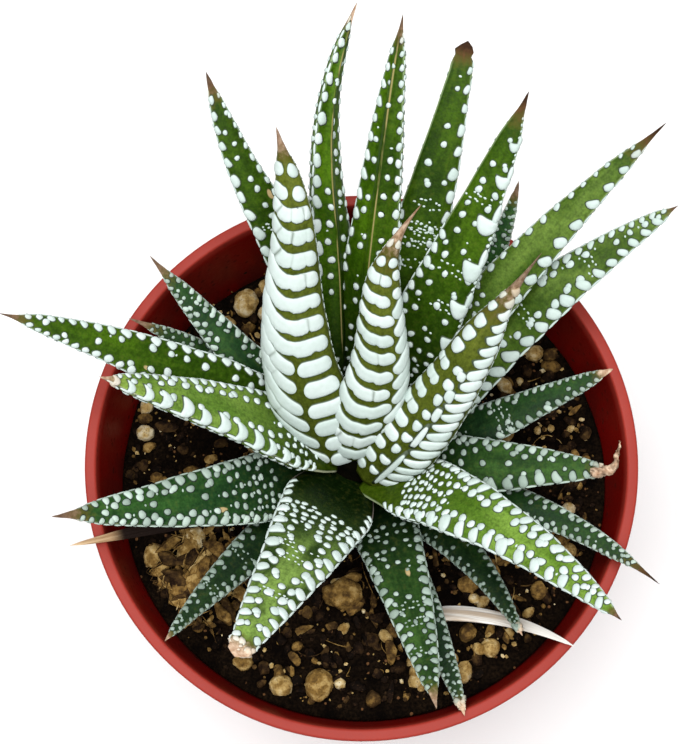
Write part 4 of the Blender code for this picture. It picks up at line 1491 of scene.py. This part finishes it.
OUTER_LEAVES = (
    Leaf("outer_leaf_1", -10, 74.5, 3.5, -2, (0, -8), (66, 70), 45, 13, 4.2, (0, 0),
         Dress(0.24, 0.60, 0.75, 1.20, 3, 1.4, 0.25, 1.7, 2.6, 0.2, 3.0, 1.0, 0.3, 0.95)),
    Leaf("outer_leaf_2", -170, 74.5, 3.5, -170, (-159, -171), (64, 66), 55.5, 13.5, 4.2, (0, 0),
         Dress(0.27, 0.58, 0.80, 1.45, 3, 1.0, 0.12, 1.9, 2.1, 0.1, 4.5, 0.2, -0.3, 1.3)),
    Leaf("outer_leaf_3", -60, 74, 5, -70, (-69, -79), (66, 71), 45, 12, 4.2, (0, 0),
         Dress(0.24, 0.70, 0.75, 1.05, 3, 1.3, 0.24, 1.8, 1.9, 0.1, 3, 0.5, 0, 0.75, specks=3)),
    Leaf("outer_leaf_4", 140, 73, 3.5, 138, (139, 133), (68, 70), 51.5, 10, 4.0, (0, 0),
         Dress(0.10, 0.60, 0.75, 1.05, 2, 1.0, 0.28, 1.4, 1.6, 0, 4.0, 0.2, -0.2, 1.2)),
    Leaf("outer_leaf_5", 60, 73, 3.5, 60, (39, 75), (68, 66), 58.5, 8.5, 3.6, (0, 0),
         Dress(0.20, 0.70, 0.75, 1.00, 2, 0.9, 0.10, 1.3, 1.3, 0, 3, 0.2, 0.3, 1.6)),
    Leaf("outer_leaf_6", 10, 72, 3.5, 15, (19, 21), (72, 70), 48, 10, 3.8, (0, 0),
         Dress(0.18, 0.60, 0.75, 1.05, 2, 1.6, 0.35, 1.3, 1.6, 0, 2.5, 0.9, 0.4, 0.9, specks=2)),
    Leaf("outer_leaf_7", -45, 72, 3.5, -45, (-22, -67), (72, 74), 42, 8.5, 3.2, (0, 0),
         Dress(0.28, 0.60, 0.60, 0.85, 2, 1.6, 0.40, 1.2, 1.1, 0, 1.5, 1.0, 0, 0.5)),
    Leaf("outer_leaf_8", -145, 71.5, 3.5, -138, (-147, -127), (72, 74), 45, 9.5, 3.2, (0, 0),
         Dress(0.28, 0.60, 0.65, 0.90, 2, 1.8, 0.40, 1.3, 1.5, 0, 1.5, 0.6, 0, 0.6, specks=2)),
    Leaf("outer_leaf_9", -25, 70.5, 3.5, -25, (5, -43), (73, 77), 57.5, 8, 3.2, (0, 0),
         Dress(0.15, 0.50, 0.60, 0.95, 2, 1.6, 0.30, 1.4, 1.3, 0, 5, 0, -0.3)),
    Leaf("outer_leaf_10", -65, 70.5, 3.5, -68, (-58, -74), (76, 77), 46, 8.5, 3.0, (0, 0),
         Dress(0.15, 0.60, 0.70, 0.90, 3, 0.9, 0.15, 1.2, 1.2, 0, 2.5, 1.0, 0.3, 0.8)),
    Leaf("outer_leaf_11", 150, 70, 3.5, 150, (126, 163), (74, 72), 49, 8, 3.0, (0, 0),
         Dress(0.15, 0.60, 0.70, 0.90, 2, 1.1, 0.15, 1.2, 1.2, 0, 4, 0.3, 0, 0.8)),
)
# the foot colours here are painted shade, and the fresh colours partly a painted glow
OLD_SKIN = skin_material(
    "old_leaf_skin", foot=(0.004, 0.013, 0.003), body=(0.007, 0.028, 0.008),
    fresh=(0.018, 0.058, 0.011), margin=(0.30, 0.34, 0.24), scars=0.22)
GREENER_SKIN = skin_material(
    "greener_leaf_skin", foot=(0.004, 0.014, 0.003), body=(0.012, 0.040, 0.007),
    fresh=(0.044, 0.112, 0.019), margin=(0.32, 0.38, 0.22), scars=0.18)
# painted shade: a dimmer copy of the white warts, for the warts on the low outer leaves
SHADED_WARTS = wart_material("shaded_warts", (0.06, 0.10, 0.07), (0.47, 0.57, 0.51),
                           seam_shadow=(0.003, 0.010, 0.003))

# The first leaf's tip has dried to a thin curl that stands up from its end. Each row gives a
# place on it from the leaf's end and its half thickness there (mm).
CURL = ((-4.0, -0.4, 0.3, 0.5), (-2.4, -0.3, 0.5, 0.9), (-0.8, -0.1, 0.8, 0.85),
        (0.3, 1.0, 1.2, 0.45), (0.2, 2.3, 1.8, 0.30), (0.7, 3.5, 2.4, 0.25), (0.5, 4.9, 3.4, 0.06))
CURL_POINTS = 40
CURL_SIDES = 14
CURL_SEED = 4                        # noise vectors differ from run to run without a seed


def make_curl(surface):
    noise.seed_set(CURL_SEED)
    steps = np.linspace(0, len(CURL) - 1, CURL_POINTS)
    x, y, z, half = [np.interp(steps, range(len(CURL)), column) for column in zip(*CURL)]
    end = Vector(surface.points[-1].mean(axis=0))
    line = [end + Vector(place) * MM for place in zip(x, y, z)]
    straight, faces = tube(line, half * MM, CURL_SIDES)
    verts = []
    for vert in straight:
        crumple = noise.noise_vector(vert / MM) * 0.40 + noise.noise_vector(vert / MM * 3) * 0.20
        verts.append(vert + crumple * MM)
    ones = np.ones(len(verts))
    pale = np.clip([0.7 + 1.2 * noise.noise(vert / MM * 2) for vert in verts], 0, 1)
    values = {"place": np.array(verts) / MM, "along": ones, "edge": FAR_OFF * ones, "dry": ones,
              "fold": FAR_OFF * ones, "bleach": pale, "tone": ones}
    piece = add_piece("outer_leaf_1_curl", verts, faces, [GREENER_SKIN], values=values)
    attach(piece, "root")


for leaf_seed, row in enumerate(OUTER_LEAVES, 31):
    row_layers = [upper_warts, margin_warts, partial(back_warts, size=1.0)]
    if row.dress.bleach == 1:
        row_layers.append(crumpled_bits)
    row_skin = GREENER_SKIN if row.name in ("outer_leaf_1", "outer_leaf_3") else OLD_SKIN
    leaf_surface = make_leaf(row, leaf_seed, row_layers, row_skin, SHADED_WARTS, "old_leaf")
    if row.name == "outer_leaf_1":
        make_curl(leaf_surface)


# ---------------------------------------------------------------- dry leaves
# Two leaves that have withered to papery cream straps with tan veins. One has fallen and lies at
# the front with its tip over the rim; the other still hangs low on the stem.

DRY_LEAVES = (
    Leaf("dry_leaf_1", -73, 72.8, 28, -80, (12, -31), (78, 71), 33, 4.5, 1.4, (0, 0),
         Dress(tip=1, bleach=1)),
    Leaf("dry_leaf_2", -165, 71.5, 3.5, -165, (-161, -166), (78, 76), 51, 5, 1.4, (0, 0),
         Dress(tip=1, bleach=1, shade=0)),
)


def papery_material():
    material, tree, shader = new_material("papery_leaf")
    place, along = read(tree, "place", "Vector"), read(tree, "along")
    veins = blotches(stretched(place, 1, 0.03, 1), 0.7, 0.14)
    veined = veins * ranged(along, 0.5, 0.85, 0.8, 0.15)
    colour = mixed(veined, (0.84, 0.83, 0.79), (0.36, 0.25, 0.15))
    colour = mixed(blotches(place, 5, 0.2) * 0.12, colour, (0.52, 0.40, 0.28))
    tan = mixed(veins, (0.62, 0.44, 0.26), (0.34, 0.20, 0.10))
    shadow = mixed(ranged(along, 0.80, 0.86), (0.012, 0.006, 0.004), tan)
    colour = mixed(read(tree, "tone"), shadow, colour)
    finish(shader, colour, bump(veins, 0.6, 0.2 * MM), 0.7, 0.1)
    return material


PAPERY = papery_material()
for leaf_seed, row in enumerate(DRY_LEAVES, 51):
    make_leaf(row, leaf_seed, [], PAPERY, WHITE_WARTS, "dry_leaf")


# ---------------------------------------------------------------- table, light and camera
# The pot stands on a plain pale table under soft light from above, seen from nearly straight
# above and a little in front.

TABLE_SIZE = 9.0
CAMERA_PLACE = Vector((-3.97, -61.15, 414.83)) * MM
CAMERA_TILT = 13                     # degrees off straight down
CAMERA_LENS = 91.14
CAMERA_SENSOR = 36
ROOM_LIGHT = 0.17
LAMP_TARGET = Vector((0, 0, 0.07))


def make_table():
    material, tree, shader = new_material("pale_table")
    colour = mixed(blotches(millimetres(tree), 60, 0.3), (0.90, 0.90, 0.90), (0.93, 0.93, 0.93))
    feed(shader, {"Base Color": colour, "Roughness": 0.9})
    half = TABLE_SIZE / 2
    corners = [(-half, -half, 0), (half, -half, 0), (half, half, 0), (-half, half, 0)]
    mesh = bpy.data.meshes.new("table")
    mesh.from_pydata(corners, [], [(0, 1, 2, 3)])
    mesh.materials.append(material)
    table = bpy.data.objects.new("table", mesh)
    bpy.context.scene.collection.objects.link(table)


def add_lamp(name, place, size, watts):
    """A soft square lamp that looks at the plant."""
    lamp = bpy.data.lights.new(name, "AREA")
    lamp.size = size
    lamp.energy = watts
    holder = bpy.data.objects.new(name, lamp)
    holder.location = place
    towards = LAMP_TARGET - Vector(place)
    holder.rotation_euler = towards.to_track_quat("-Z", "Y").to_euler()
    bpy.context.scene.collection.objects.link(holder)


def light_the_scene():
    world = bpy.data.worlds.new("soft_room")
    world.use_nodes = True
    sky = world.node_tree.nodes["Background"]
    sky.inputs["Color"].default_value = (1.0, 1.0, 1.0, 1)
    sky.inputs["Strength"].default_value = ROOM_LIGHT
    bpy.context.scene.world = world
    bpy.context.scene.view_settings.view_transform = "Standard"
    add_lamp("key", (-0.08, 0.00, 0.92), 0.8, 13.5)
    add_lamp("fill", (0.25, -0.45, 0.60), 0.6, 1.0)


def add_camera():
    camera = bpy.data.cameras.new("camera")
    camera.lens = CAMERA_LENS
    camera.sensor_width = CAMERA_SENSOR
    camera.clip_start = 0.01
    holder = bpy.data.objects.new("camera", camera)
    holder.location = CAMERA_PLACE
    holder.rotation_euler = (math.radians(CAMERA_TILT), 0, 0)
    bpy.context.scene.collection.objects.link(holder)
    bpy.context.scene.camera = holder


make_table()
light_the_scene()
add_camera()
